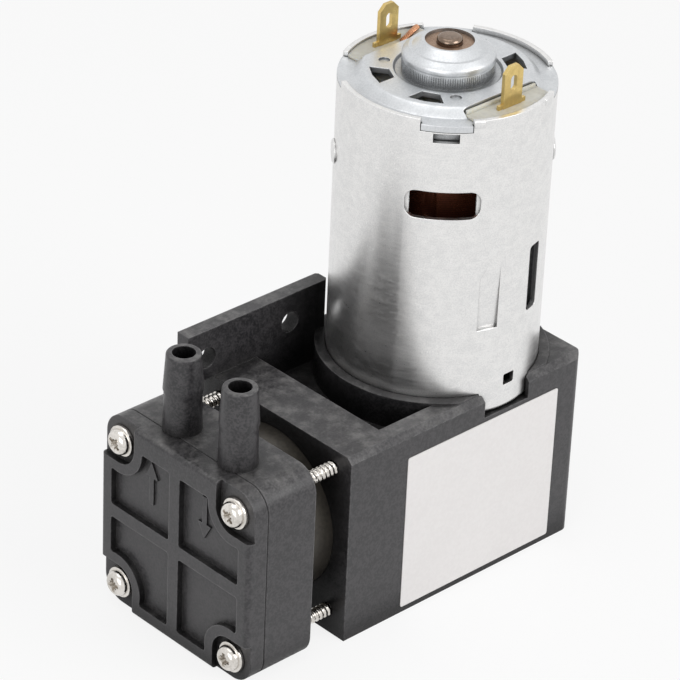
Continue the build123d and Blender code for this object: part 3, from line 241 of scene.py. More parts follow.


# One dictionary per finish: tones, roughness from smooth to worn, relief, and what covers it, with painted
# shade in recesses and a worn tone that also paints highlights on edges
finishes = {
    "black_nylon": {
        "tone": tint(0.0235, 0.0228, 0.0245), "second": tint(0.054, 0.051, 0.054), "patches": 620.0,
        "speckle": 0.6, "fineness": 3.4, "contrast": (0.42, 0.6), "rough": (0.3, 0.5), "metal": 0.0,
        "grain": (2200.0, 0.000018), "wave": (260.0, 0.000014), "edge": 0.0003, "wearHighlight": 0.7,
        "wornHighlight": tint(0.2, 0.195, 0.2), "dust": 0.34,
        "cavity": (0.011, 0.88)},
    "zinc_steel": {
        "tone": tint(0.85, 0.843, 0.832), "second": tint(0.71, 0.709, 0.706), "patches": 520.0, "speckle": 0.6,
        "rough": (0.27, 0.4), "metal": 1.0, "grain": (1700.0, 0.000007), "wave": (60.0, 0.000006),
        "edge": 0.0002, "wearHighlight": 0.35, "wornHighlight": tint(0.86, 0.86, 0.85), "dust": 0.04, "marks": (1.0, 1.0, 8.0),
        "cavity": (0.0016, 0.75)},
    "bell_steel": {
        "tone": tint(0.66, 0.675, 0.69), "second": tint(0.58, 0.595, 0.61), "patches": 380.0, "speckle": 0.5,
        "rough": (0.36, 0.48), "metal": 1.0, "grain": (2200.0, 0.000003), "wave": (80.0, 0.000006),
        "edge": 0.0002, "wearHighlight": 0.4, "wornHighlight": tint(0.84, 0.85, 0.86), "dust": 0.06, "cavity": (0.0025, 0.75)},
    "knurled_steel": {
        "tone": tint(0.5, 0.51, 0.52), "second": tint(0.3, 0.31, 0.32), "patches": 900.0, "speckle": 0.5,
        "rough": (0.36, 0.5), "metal": 1.0, "grain": (2600.0, 0.000004), "wave": (300.0, 0.000006),
        "edge": 0.00005, "wearHighlight": 0.3, "wornHighlight": tint(0.8, 0.8, 0.8), "dust": 0.05, "marks": (1.0, 1.0, 0.2),
        "cavity": (0.0008, 0.8)},
    "nickel_screw": {
        "tone": tint(0.76, 0.73, 0.69), "second": tint(0.6, 0.57, 0.53), "patches": 240.0, "speckle": 0.4,
        "rough": (0.12, 0.26), "metal": 1.0, "grain": (2600.0, 0.000003), "wave": (300.0, 0.000006),
        "edge": 0.00008, "wearHighlight": 0.4, "wornHighlight": tint(0.85, 0.83, 0.8), "dust": 0.08},
    "terminal_brass": {
        "tone": tint(0.74, 0.56, 0.22), "second": tint(0.6, 0.44, 0.17), "patches": 150.0, "speckle": 0.45,
        "rough": (0.24, 0.4), "metal": 1.0, "grain": (2000.0, 0.000003), "wave": (140.0, 0.000008),
        "edge": 0.0001, "wearHighlight": 0.5, "wornHighlight": tint(0.88, 0.74, 0.42), "dust": 0.05, "marks": (12.0, 1.0, 1.0)},
    "label_film": {
        "tone": tint(0.8, 0.778, 0.77), "second": tint(0.775, 0.752, 0.744), "patches": 160.0, "speckle": 0.6,
        "rough": (0.38, 0.52), "metal": 0.0, "grain": (2400.0, 0.000003), "wave": (60.0, 0.00001),
        "edge": 0.0001, "wearHighlight": 0.3, "wornHighlight": tint(0.86, 0.85, 0.84), "dust": 0.04},
    "white_nylon": {
        "tone": tint(0.66, 0.65, 0.58), "second": tint(0.56, 0.54, 0.47), "patches": 120.0, "speckle": 0.3,
        "rough": (0.3, 0.45), "metal": 0.0, "grain": (1800.0, 0.000004), "wave": (120.0, 0.000015),
        "edge": 0.00015, "wearHighlight": 0.3, "wornHighlight": tint(0.8, 0.79, 0.74), "dust": 0.12, "inner": 0.5},
    "anodised_sleeve": {
        "tone": tint(0.045, 0.04, 0.034), "second": tint(0.07, 0.062, 0.05), "patches": 160.0, "speckle": 0.4,
        "rough": (0.3, 0.42), "metal": 0.4, "grain": (1600.0, 0.000003), "wave": (80.0, 0.000008),
        "edge": 0.00012, "wearHighlight": 0.5, "wornHighlight": tint(0.2, 0.19, 0.17), "dust": 0.06, "marks": (14.0, 1.0, 1.0)},
    "seal_rubber": {
        "tone": tint(0.018, 0.018, 0.019), "second": tint(0.032, 0.031, 0.03), "patches": 200.0, "speckle": 0.4,
        "rough": (0.6, 0.8), "metal": 0.0, "grain": (2200.0, 0.000006), "wave": (180.0, 0.00001),
        "edge": 0.0001, "wearHighlight": 0.2, "wornHighlight": tint(0.06, 0.06, 0.06), "dust": 0.15},
    "valve_aluminium": {
        "tone": tint(0.68, 0.69, 0.7), "second": tint(0.58, 0.59, 0.6), "patches": 90.0, "speckle": 0.4,
        "rough": (0.22, 0.36), "metal": 1.0, "grain": (2000.0, 0.000003), "wave": (90.0, 0.000006),
        "edge": 0.0001, "wearHighlight": 0.3, "wornHighlight": tint(0.8, 0.8, 0.8), "dust": 0.05, "marks": (1.0, 10.0, 1.0)},
    "spring_steel": {
        "tone": tint(0.52, 0.53, 0.55), "second": tint(0.42, 0.43, 0.46), "patches": 160.0, "speckle": 0.4,
        "rough": (0.2, 0.34), "metal": 1.0, "grain": (2200.0, 0.000002), "wave": (120.0, 0.000005),
        "edge": 0.00006, "wearHighlight": 0.3, "wornHighlight": tint(0.66, 0.66, 0.68), "dust": 0.03, "marks": (1.0, 12.0, 1.0)},
    "sintered_bronze": {
        "tone": tint(0.42, 0.3, 0.22), "second": tint(0.3, 0.2, 0.14), "patches": 500.0, "speckle": 0.6,
        "rough": (0.4, 0.62), "metal": 0.9, "grain": (2600.0, 0.000012), "wave": (300.0, 0.000008),
        "edge": 0.00012, "wearHighlight": 0.4, "wornHighlight": tint(0.56, 0.42, 0.32), "dust": 0.05},
    "ferrite": {
        "tone": tint(0.06, 0.06, 0.064), "second": tint(0.1, 0.1, 0.1), "patches": 160.0, "speckle": 0.6,
        "rough": (0.5, 0.7), "metal": 0.1, "grain": (1900.0, 0.00001), "wave": (120.0, 0.00001),
        "edge": 0.0002, "wearHighlight": 0.4, "wornHighlight": tint(0.2, 0.2, 0.2), "dust": 0.1},
    "carbon": {
        "tone": tint(0.035, 0.035, 0.037), "second": tint(0.07, 0.07, 0.072), "patches": 400.0, "speckle": 0.6,
        "rough": (0.42, 0.6), "metal": 0.3, "grain": (2500.0, 0.000008), "wave": (200.0, 0.000006),
        "edge": 0.0001, "wearHighlight": 0.4, "wornHighlight": tint(0.14, 0.14, 0.14), "dust": 0.05},
    "shaft_steel": {
        "tone": tint(0.27, 0.2, 0.155), "second": tint(0.17, 0.125, 0.095), "patches": 260.0, "speckle": 0.4,
        "rough": (0.18, 0.32), "metal": 1.0, "grain": (2400.0, 0.000002), "wave": (200.0, 0.000004),
        "edge": 0.0001, "wearHighlight": 0.4, "wornHighlight": tint(0.5, 0.44, 0.38), "dust": 0.02, "marks": (1.0, 1.0, 14.0),
        "cavity": (0.0012, 0.7)},
    "core_steel": {
        "tone": tint(0.3, 0.31, 0.33), "second": tint(0.2, 0.2, 0.22), "patches": 120.0, "speckle": 0.5,
        "rough": (0.34, 0.5), "metal": 0.9, "grain": (2000.0, 0.000004), "wave": (100.0, 0.000006),
        "edge": 0.0001, "wearHighlight": 0.3, "wornHighlight": tint(0.5, 0.5, 0.52), "dust": 0.06, "layers": 0.0005},
    "enamelled_copper": {
        "tone": tint(0.2, 0.06, 0.03), "second": tint(0.12, 0.035, 0.018), "patches": 240.0, "speckle": 0.3,
        "rough": (0.22, 0.36), "metal": 0.7, "grain": (2000.0, 0.000004), "wave": (160.0, 0.00001),
        "edge": 0.0002, "wearHighlight": 0.3, "wornHighlight": tint(0.5, 0.22, 0.12), "dust": 0.04, "layers": 0.00045},
    "commutator_copper": {
        "tone": tint(0.62, 0.32, 0.18), "second": tint(0.42, 0.2, 0.11), "patches": 220.0, "speckle": 0.4,
        "rough": (0.2, 0.36), "metal": 1.0, "grain": (2200.0, 0.000003), "wave": (160.0, 0.000005),
        "edge": 0.0001, "wearHighlight": 0.4, "wornHighlight": tint(0.78, 0.5, 0.34), "dust": 0.03, "marks": (1.0, 1.0, 14.0)},
    "crank_brass": {
        "tone": tint(0.62, 0.49, 0.24), "second": tint(0.5, 0.38, 0.18), "patches": 120.0, "speckle": 0.4,
        "rough": (0.22, 0.36), "metal": 1.0, "grain": (2000.0, 0.000003), "wave": (120.0, 0.000006),
        "edge": 0.00012, "wearHighlight": 0.4, "wornHighlight": tint(0.78, 0.66, 0.42), "dust": 0.04, "marks": (1.0, 1.0, 14.0)},
    "bearing_steel": {
        "tone": tint(0.62, 0.63, 0.65), "second": tint(0.52, 0.53, 0.55), "patches": 160.0, "speckle": 0.3,
        "rough": (0.12, 0.24), "metal": 1.0, "grain": (2400.0, 0.000002), "wave": (160.0, 0.000004),
        "edge": 0.0001, "wearHighlight": 0.3, "wornHighlight": tint(0.74, 0.74, 0.76), "dust": 0.03, "marks": (1.0, 1.0, 14.0)},
    "rod_aluminium": {
        "tone": tint(0.56, 0.57, 0.58), "second": tint(0.46, 0.47, 0.48), "patches": 70.0, "speckle": 0.5,
        "rough": (0.34, 0.5), "metal": 1.0, "grain": (1500.0, 0.000009), "wave": (90.0, 0.00001),
        "edge": 0.0002, "wearHighlight": 0.4, "wornHighlight": tint(0.7, 0.7, 0.72), "dust": 0.05},
    "ptfe": {
        "tone": tint(0.07, 0.06, 0.05), "second": tint(0.11, 0.095, 0.08), "patches": 140.0, "speckle": 0.4,
        "rough": (0.4, 0.55), "metal": 0.0, "grain": (2000.0, 0.000004), "wave": (120.0, 0.000008),
        "edge": 0.0001, "wearHighlight": 0.2, "wornHighlight": tint(0.18, 0.16, 0.14), "dust": 0.05},
}


def makeFinish(name, look):
    material = bpy.data.materials.new(name)
    material.use_nodes = True
    tree = material.node_tree
    tree.nodes.clear()
    output = newNode(tree, "ShaderNodeOutputMaterial")
    shader = shaderNode(tree, "BsdfPrincipled", {"Metallic": look["metal"], "Specular IOR Level": 0.5})
    tree.links.new(shader.outputs["BSDF"], output.inputs["Surface"])

    low, high = look.get("contrast", (0.35, 0.65))
    tone = useGroup(tree, cloudedTone, {"Scale": look["patches"], "Speckle": look["speckle"], "Low": low,
                                        "High": high, "Fineness": look.get("fineness", 8.0)})
    wornHighlight = useGroup(tree, edgeWearHighlight, {"Radius": look["edge"] * shading["wearHighlightRadius"], "Amount": look["wearHighlight"]})
    dust = useGroup(tree, settledDust, {"Amount": look["dust"]})
    base = blendColour(tree, tone.outputs["Mask"], look["tone"], look["second"])
    roughMask = tone.outputs["Mask"]
    if "marks" in look:
        marks = useGroup(tree, drawnMarks, {"Stretch": look["marks"]})
        darker = tuple(shading["markDark"] * part for part in look["second"][:3])
        lined = blendColour(tree, marks.outputs["Mask"], tint(*darker), look["tone"])
        lining = mathNode(tree, "MULTIPLY", marks.outputs["Mask"], shading["markShare"])
        base = blendColour(tree, lining, base, lined)
        halved = mathNode(tree, "MULTIPLY", roughMask, 0.5)
        roughMask = mathNode(tree, "MULTIPLY_ADD", marks.outputs["Mask"], 0.5, halved)
    if "layers" in look:
        base = addLayers(tree, base, look)
    # Edges take the worn tone: partly real wear, partly a painted highlight along edges.
    base = blendColour(tree, wornHighlight.outputs["Mask"], base, look["wornHighlight"])
    base = blendColour(tree, dust.outputs["Mask"], base, shading["dustTone"])
    # Painted shade: where walls close in, the base colour goes towards near black and the specular level drops.
    if "cavity" in look:
        shade = useGroup(tree, cavityShade, {"Distance": look["cavity"][0], "Amount": look["cavity"][1]})
        base = blendColour(tree, shade.outputs["Mask"], shading["cavityTone"], base)
        gloss = mathNode(tree, "MULTIPLY", shade.outputs["Mask"], 0.5)
        tree.links.new(gloss, shader.inputs["Specular IOR Level"])
    tree.links.new(base, shader.inputs["Base Color"])

    rough = spread(tree, roughMask, 0.0, 1.0, look["rough"][0], look["rough"][1], "LINEAR")
    rough = mathNode(tree, "MAXIMUM", rough, mathNode(tree, "MULTIPLY", dust.outputs["Mask"], 0.9))
    tree.links.new(rough, shader.inputs["Roughness"])
    relief = useGroup(tree, touchedSurface, {"Edge Radius": look["edge"], "Grain Scale": look["grain"][0],
                                          "Grain Depth": look["grain"][1], "Wave Scale": look["wave"][0],
                                          "Wave Depth": look["wave"][1]})
    tree.links.new(relief.outputs["Normal"], shader.inputs["Normal"])
    if "inner" in look:
        shader.inputs["Subsurface Weight"].default_value = look["inner"]
        shader.inputs["Subsurface Radius"].default_value = shading["innerReach"]
        shader.inputs["Subsurface Scale"].default_value = 1.0
    return material


def addLayers(tree, base, look):
    # Stacked sheet or wound wire: dark lines at an even pitch up the motor's axis.
    where = newNode(tree, "ShaderNodeTexCoord")
    parts = shaderNode(tree, "SeparateXYZ", {"Vector": where.outputs["Object"]})
    phase = mathNode(tree, "FRACT", mathNode(tree, "DIVIDE", parts.outputs["Z"], look["layers"]))
    ridge = mathNode(tree, "ABSOLUTE", mathNode(tree, "SUBTRACT", phase, 0.5))
    line = spread(tree, ridge, 0.32, 0.5)
    dark = tuple(shading["layerDark"] * part for part in look["second"][:3])
    return blendColour(tree, mathNode(tree, "MULTIPLY", line, shading["layerShare"]), base, tint(*dark))


materials = {slot: makeFinish(slot, look) for slot, look in finishes.items()}
print("stage: finishes made,", len(materials))


# CAD nodes keep their shape and take smooth shading and a finish

smoothing = {"mergeDistance": 0.000002, "sharpAngle": 28.0}


def buildSmoothSkin():
    tree = bpy.data.node_groups.new("smoothSkin", "GeometryNodeTree")
    tree.interface.new_socket(name="Geometry", in_out="INPUT", socket_type="NodeSocketGeometry")
    merge = tree.interface.new_socket(name="Merge Distance", in_out="INPUT", socket_type="NodeSocketFloat")
    merge.default_value = smoothing["mergeDistance"]
    sharp = tree.interface.new_socket(name="Sharp Angle", in_out="INPUT", socket_type="NodeSocketFloat")
    sharp.default_value = math.radians(smoothing["sharpAngle"])
    tree.interface.new_socket(name="Geometry", in_out="OUTPUT", socket_type="NodeSocketGeometry")
    given = newNode(tree, "NodeGroupInput")
    result = newNode(tree, "NodeGroupOutput")
    weld = newNode(tree, "GeometryNodeMergeByDistance")
    faces = newNode(tree, "GeometryNodeSetShadeSmooth", domain="FACE")
    edges = newNode(tree, "GeometryNodeSetShadeSmooth", domain="EDGE")
    angle = newNode(tree, "GeometryNodeInputMeshEdgeAngle")
    compare = newNode(tree, "FunctionNodeCompare", data_type="FLOAT", operation="GREATER_THAN")
    plug(tree, weld, {"Geometry": given.outputs["Geometry"], "Distance": given.outputs["Merge Distance"]})
    plug(tree, faces, {"Geometry": weld.outputs["Geometry"], "Shade Smooth": True})
    plug(tree, compare, {0: angle.outputs["Unsigned Angle"], 1: given.outputs["Sharp Angle"]})
    plug(tree, edges, {"Geometry": faces.outputs["Geometry"], "Selection": compare.outputs["Result"],
                       "Shade Smooth": False})
    tree.links.new(edges.outputs["Geometry"], result.inputs["Geometry"])
    return tree


smoothSkin = buildSmoothSkin()
for name, cadNode in nodes.items():
    cadNode.data.materials.clear()
    cadNode.data.materials.append(materials[slotOf[name]])
    skin = cadNode.modifiers.new("smoothSkin", "NODES")
    skin.node_group = smoothSkin
nodes["end_bell"].data.materials[0] = materials["bell_steel"]
print("stage: CAD nodes finished")


# Head screws: one turned and threaded screw, set at the four corners by Geometry Nodes

headScrew = {
    "headRadius": 3.2, "headHeight": 2.5, "brimHeight": 0.95, "rimRadius": 2.65, "crownRadius": 1.5,
    "threadRadius": 1.45, "rootRadius": 1.12, "threadPitch": 1.0, "threadStart": 12.0,
    "crossLength": 3.1, "crossWidth": 0.78, "crossDepth": 1.25, "starLength": 2.2, "starWidth": 0.5,
    "seatChamfer": 0.12, "brimSoft": 0.25, "flatCrown": 0.35, "domeSteps": 8,
    "flightHalf": 0.3, "pointLength": 2.0, "pointTip": 0.35, "shankShare": 0.92, "rowsPerPitch": 8,
    "ringSteps": 48, "turnSteps": 28, "seed": 7,
}


def pieceFromMesh(name, mesh, material, smoothAngle=32.0):
    mesh.materials.clear()
    mesh.materials.append(material)
    for polygon in mesh.polygons:
        polygon.use_smooth = True
    mesh.set_sharp_from_angle(angle=math.radians(smoothAngle))
    piece = bpy.data.objects.new(name, mesh)
    bpy.context.scene.collection.objects.link(piece)
    return piece


def meshFromGrid(rows):
    # Rows of points become a skin of quads, and one face closes each end.
    made = bmesh.new()
    rings = [[made.verts.new(point) for point in row] for row in rows]
    for lower, upper in zip(rings, rings[1:]):
        count = len(lower)
        for index in range(count):
            other = (index + 1) % count
            made.faces.new((lower[index], lower[other], upper[other], upper[index]))
    for ring in (rings[0], rings[-1]):
        made.faces.new(ring)
    bmesh.ops.recalc_face_normals(made, faces=made.faces)
    return made


def toMesh(made, name):
    mesh = bpy.data.meshes.new(name)
    made.to_mesh(mesh)
    made.free()
    return mesh


def screwHead(look):
    # Profile of (distance along the screw, radius): seat, brim, dome, crown.
    high = look["headHeight"]
    brim = look["brimHeight"]
    wide = look["headRadius"]
    profile = [(0.0, wide - look["seatChamfer"]), (look["seatChamfer"], wide), (brim - look["brimSoft"], wide),
               (brim - 0.08, wide - 0.07), (brim, wide - 0.22), (brim, look["rimRadius"])]
    for index in range(1, look["domeSteps"] + 1):
        turn = math.radians(90.0 * index / look["domeSteps"])
        reach = look["crownRadius"] + (look["rimRadius"] - look["crownRadius"]) * math.cos(turn)
        profile.append((brim + (high - brim) * math.sin(turn), reach))
    profile.append((high, look["flatCrown"]))
    steps = look["ringSteps"]
    rows = []
    for along, radius in profile:
        turns = [2 * math.pi * index / steps for index in range(steps)]
        rows.append([(-along * mm, radius * mm * math.cos(turn), radius * mm * math.sin(turn))
                     for turn in turns])
    return toMesh(meshFromGrid(rows), "screwHead")


def crossCutter(look):
    made = bmesh.new()
    cross = [(look["crossWidth"], look["crossLength"], 0.0), (look["crossLength"], look["crossWidth"], 0.0)]
    star = [(look["starWidth"], look["starLength"], 45.0), (look["starWidth"], look["starLength"], -45.0)]
    for wide, long, lean in cross + star:
        turn = Matrix.Rotation(math.radians(lean), 3, "X")
        top = -(look["headHeight"] + 0.4) * mm
        floor = -(look["headHeight"] - look["crossDepth"]) * mm
        corners = []
        for along, taper in ((top, 1.12), (floor, 0.62)):
            for side, lift in ((-1, -1), (1, -1), (1, 1), (-1, 1)):
                spot = Vector((along, side * wide * taper * mm / 2, lift * long * taper * mm / 2))
                corners.append(made.verts.new(turn @ spot))
        for face in ((0, 1, 2, 3), (7, 6, 5, 4), (0, 4, 5, 1), (1, 5, 6, 2), (2, 6, 7, 3), (3, 7, 4, 0)):
            made.faces.new([corners[index] for index in face])
    bmesh.ops.recalc_face_normals(made, faces=made.faces)
    return toMesh(made, "screwCross")


def threadedShank(look, length):
    # The radius rises and falls along the helix, which gives sharp self-tapping flights.
    steps = look["turnSteps"]
    count = int(length / look["threadPitch"] * look["rowsPerPitch"])
    rows = []
    for row in range(count + 1):
        along = length * row / count
        ring = []
        for index in range(steps):
            turn = 2 * math.pi * index / steps
            phase = (along / look["threadPitch"] - index / steps) % 1.0
            flight = max(0.0, 1.0 - abs(phase - 0.5) / look["flightHalf"])
            point = min(1.0, (length - along) / look["pointLength"])
            depth = (look["threadRadius"] - look["rootRadius"]) * flight
            radius = (look["rootRadius"] + depth) * (look["pointTip"] + (1.0 - look["pointTip"]) * point)
            if along < look["threadStart"]:
                radius = look["threadRadius"] * look["shankShare"]
            ring.append((along * mm, radius * mm * math.cos(turn), radius * mm * math.sin(turn)))
        rows.append(ring)
    return toMesh(meshFromGrid(rows), "screwShank")


def joinMeshes(meshes, name):
    made = bmesh.new()
    for mesh in meshes:
        made.from_mesh(mesh)
    return toMesh(made, name)


def cutMesh(mesh, cutter):
    # Boolean of two plain meshes, applied at once.
    body = bpy.data.objects.new("cutBody", mesh)
    tool = bpy.data.objects.new("cutTool", cutter)
    for piece in (body, tool):
        bpy.context.scene.collection.objects.link(piece)
    cut = body.modifiers.new("cut", "BOOLEAN")
    cut.operation = "DIFFERENCE"
    cut.solver = "EXACT"
    cut.use_self = True
    cut.object = tool
    graph = bpy.context.evaluated_depsgraph_get()
    result = bpy.data.meshes.new_from_object(body.evaluated_get(graph))
    for piece in (body, tool):
        bpy.data.objects.remove(piece)
    return result


def copyTree(name, inputs):
    tree = bpy.data.node_groups.new(name, "GeometryNodeTree")
    tree.interface.new_socket(name="Geometry", in_out="INPUT", socket_type="NodeSocketGeometry")
    for label, kind, value in inputs:
        tree.interface.new_socket(name=label, in_out="INPUT", socket_type=kind).default_value = value
    tree.interface.new_socket(name="Geometry", in_out="OUTPUT", socket_type="NodeSocketGeometry")
    return tree, newNode(tree, "NodeGroupInput"), newNode(tree, "NodeGroupOutput")


def setCopies(tree, given, result, points, rotation, material):
    # The incoming piece on each point, made real and given its material.
    copies = newNode(tree, "GeometryNodeInstanceOnPoints")
    plug(tree, copies, {"Points": points, "Instance": given.outputs["Geometry"], "Rotation": rotation})
    real = newNode(tree, "GeometryNodeRealizeInstances")
    tree.links.new(copies.outputs["Instances"], real.inputs["Geometry"])
    paint = newNode(tree, "GeometryNodeSetMaterial")
    plug(tree, paint, {"Geometry": real.outputs["Geometry"], "Material": material})
    tree.links.new(paint.outputs["Geometry"], result.inputs["Geometry"])
    return tree


def buildCornerTree(material, centre, spacing, seed):
    # Copies of the incoming screw on a 2 by 2 grid across the head, each with its own turn.
    ins = [("Spacing Y", "NodeSocketFloat", spacing[0]), ("Spacing Z", "NodeSocketFloat", spacing[1]),
           ("Centre", "NodeSocketVector", centre), ("Seed", "NodeSocketInt", seed)]
    tree, given, result = copyTree("cornerScrews", ins)
    grid = newNode(tree, "GeometryNodeMeshGrid")
    plug(tree, grid, {"Size X": given.outputs["Spacing Z"], "Size Y": given.outputs["Spacing Y"],
                      "Vertices X": 2, "Vertices Y": 2})
    stand = newNode(tree, "GeometryNodeTransform")
    plug(tree, stand, {"Geometry": grid.outputs["Mesh"], "Translation": given.outputs["Centre"],
                       "Rotation": (0.0, math.radians(90), 0.0)})
    chance = newNode(tree, "FunctionNodeRandomValue", data_type="FLOAT_VECTOR")
    plug(tree, chance, {0: (0.0, 0.0, 0.0), 1: (math.pi / 2, 0.0, 0.0), "Seed": given.outputs["Seed"]})
    return setCopies(tree, given, result, stand.outputs["Geometry"], chance.outputs[0], material)


def realise(piece, tree, values):
    # Sets the modifier's inputs by identifier, then keeps the result as a plain mesh.
    modifier = piece.modifiers.new(tree.name, "NODES")
    modifier.node_group = tree
    for item in tree.interface.items_tree:
        if item.in_out == "INPUT" and item.name in values:
            modifier[item.identifier] = values[item.name]
    graph = bpy.context.evaluated_depsgraph_get()
    mesh = bpy.data.meshes.new_from_object(piece.evaluated_get(graph))
    bpy.data.objects.remove(piece)
    return mesh


def makeHeadScrews():
    low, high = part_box("head_screws")
    look = headScrew
    reach = (high.x - low.x) / mm - look["headHeight"]
    head = cutMesh(screwHead(look), crossCutter(look))
    screw = joinMeshes([head, threadedShank(look, reach)], "headScrew")
    source = bpy.data.objects.new("headScrewSource", screw)
    bpy.context.scene.collection.objects.link(source)
    seat = low.x + look["headHeight"] * mm
    spacing = (high.y - low.y - 2 * look["headRadius"] * mm, high.z - low.z - 2 * look["headRadius"] * mm)
    centre = (seat, (low.y + high.y) / 2, (low.z + high.z) / 2)
    tree = buildCornerTree(materials["nickel_screw"], centre, spacing, look["seed"])
    mesh = realise(source, tree, {"Spacing Y": spacing[0], "Spacing Z": spacing[1], "Centre": centre,
                                        "Seed": look["seed"]})
    piece = pieceFromMesh("headScrewSet", mesh, materials["nickel_screw"], 38.0)
    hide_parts("head_screws")
    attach(piece, "housing")


makeHeadScrews()
print("stage: head screws set")


# Knurl on the boss: fine ridges set round its wall by Geometry Nodes

knurl = {
    "radius": 8.8, "count": 120, "height": 2.3, "lift": 0.3, "ridge": 0.24, "proud": 0.13, "rise": 6.5,
    "sink": 0.1, "crestShare": 0.82,
}


def buildKnurlTree(material, level, look):
    # Copies of the incoming ridge round a circle, each facing outwards.
    ins = [("Radius", "NodeSocketFloat", look["radius"] * mm), ("Count", "NodeSocketInt", look["count"]),
           ("Level", "NodeSocketFloat", level)]
    tree, given, result = copyTree("knurlRidges", ins)
    circle = newNode(tree, "GeometryNodeMeshCircle")
    plug(tree, circle, {"Vertices": given.outputs["Count"], "Radius": given.outputs["Radius"]})
    lift = newNode(tree, "ShaderNodeCombineXYZ")
    plug(tree, lift, {"Z": given.outputs["Level"]})
    stand = newNode(tree, "GeometryNodeTransform")
    plug(tree, stand, {"Geometry": circle.outputs["Mesh"], "Translation": lift.outputs["Vector"]})
    where = newNode(tree, "GeometryNodeInputPosition")
    flat = newNode(tree, "ShaderNodeVectorMath", operation="MULTIPLY")
    plug(tree, flat, {0: where.outputs["Position"], 1: (1.0, 1.0, 0.0)})
    turn = newNode(tree, "FunctionNodeAlignRotationToVector", axis="X")
    plug(tree, turn, {"Vector": flat.outputs["Vector"]})
    return setCopies(tree, given, result, stand.outputs["Geometry"], turn.outputs["Rotation"], material)


def makeKnurl():
    # Each ridge is a low prism with a sharp crest and tapered ends.
    look = knurl
    high = look["height"] * mm / 2
    half = look["ridge"] * mm / 2
    sink = -look["sink"] * mm
    crest = look["proud"] * mm
    made = bmesh.new()
    spots = [(sink, -half, -high), (sink, half, -high), (crest, 0.0, -high * look["crestShare"]),
             (sink, -half, high), (sink, half, high), (crest, 0.0, high * look["crestShare"])]
    corners = [made.verts.new(spot) for spot in spots]
    for face in ((0, 1, 2), (5, 4, 3), (1, 4, 5, 2), (0, 2, 5, 3), (0, 3, 4, 1)):
        made.faces.new([corners[index] for index in face])
    bmesh.ops.recalc_face_normals(made, faces=made.faces)
    source = bpy.data.objects.new("knurlSource", toMesh(made, "knurlSource"))
    bpy.context.scene.collection.objects.link(source)
    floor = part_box("end_bell")[1].z - look["rise"] * mm
    level = floor + (look["lift"] + look["height"] / 2) * mm
    tree = buildKnurlTree(materials["knurled_steel"], level, look)
    mesh = realise(source, tree, {"Radius": look["radius"] * mm, "Count": look["count"], "Level": level})
    piece = pieceFromMesh("knurlBand", mesh, materials["knurled_steel"], 20.0)
    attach(piece, "housing")


makeKnurl()
print("stage: knurl set")


# Brush end: carrier lips, copper leads, staked rim and the lugs behind the lock holes

brushEnd = {
    "lipLength": 18.2, "lipInner": 13.85, "lipOuter": 14.5, "lipRise": 0.75, "lipSink": 0.4, "lipSoft": 0.22,
    "leadPath": [(2.2, 14.9, 0.35), (4.6, 15.5, 0.75), (6.6, 16.4, 0.7), (8.8, 17.6, 0.3)],
    "leadStrand": 0.3, "leadSpread": 0.34, "leadTwists": 5.0,
    "stakes": [-117.6, 62.4, 109.5, -70.5], "stakeWide": 2.3, "stakeInner": 20.15, "stakeOuter": 21.12,
    "stakeLow": -1.5, "stakeHigh": 0.06, "stakeSoft": 0.3,
    "lugAngle": -134.6, "lugHalf": 8.5, "lugInner": 19.2, "lugOuter": 19.6, "lugLow": -5.0, "lugHigh": -2.15,
}


def softBlock(low, high, soft, turn=0.0):
    # Block with rounded edges, turned about the motor's axis.
    made = bmesh.new()
    corners = [made.verts.new((x, y, z)) for z in (low[2], high[2]) for x, y in
               ((low[0], low[1]), (high[0], low[1]), (high[0], high[1]), (low[0], high[1]))]
    for face in ((3, 2, 1, 0), (4, 5, 6, 7), (0, 1, 5, 4), (1, 2, 6, 5), (2, 3, 7, 6), (3, 0, 4, 7)):
        made.faces.new([corners[index] for index in face])
    bmesh.ops.bevel(made, geom=list(made.edges), offset=soft, segments=3, profile=0.5, affect="EDGES")
    bmesh.ops.recalc_face_normals(made, faces=made.faces)
    bmesh.ops.transform(made, matrix=Matrix.Rotation(math.radians(turn), 4, "Z"), verts=made.verts)
    return toMesh(made, "softBlock")


def makeCarrierLips(top):
    look = brushEnd
    half = look["lipLength"] / 2 * mm
    low = (-half, look["lipInner"] * mm, top - look["lipSink"] * mm)
    high = (half, look["lipOuter"] * mm, top + look["lipRise"] * mm)
    lips = [softBlock(low, high, look["lipSoft"] * mm, turn) for turn in (0, 180)]
    piece = pieceFromMesh("carrierLips", joinMeshes(lips, "carrierLips"), materials["white_nylon"], 40.0)
    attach(piece, "housing")


def alongPath(points, share):
    # Point at a share of the way along a bent path, with softened corners.
    spot = share * (len(points) - 1)
    index = min(int(spot), len(points) - 2)
    before = Vector(points[max(index - 1, 0)])
    first = Vector(points[index])
    second = Vector(points[index + 1])
    after = Vector(points[min(index + 2, len(points) - 1)])
    step = spot - index
    left = (second - before) * 0.5
    right = (after - second + second - first) * 0.5
    square = step * step
    cube = square * step
    return (first * (2 * cube - 3 * square + 1) + left * (cube - 2 * square + step)
            + second * (3 * square - 2 * cube) + right * (cube - square))


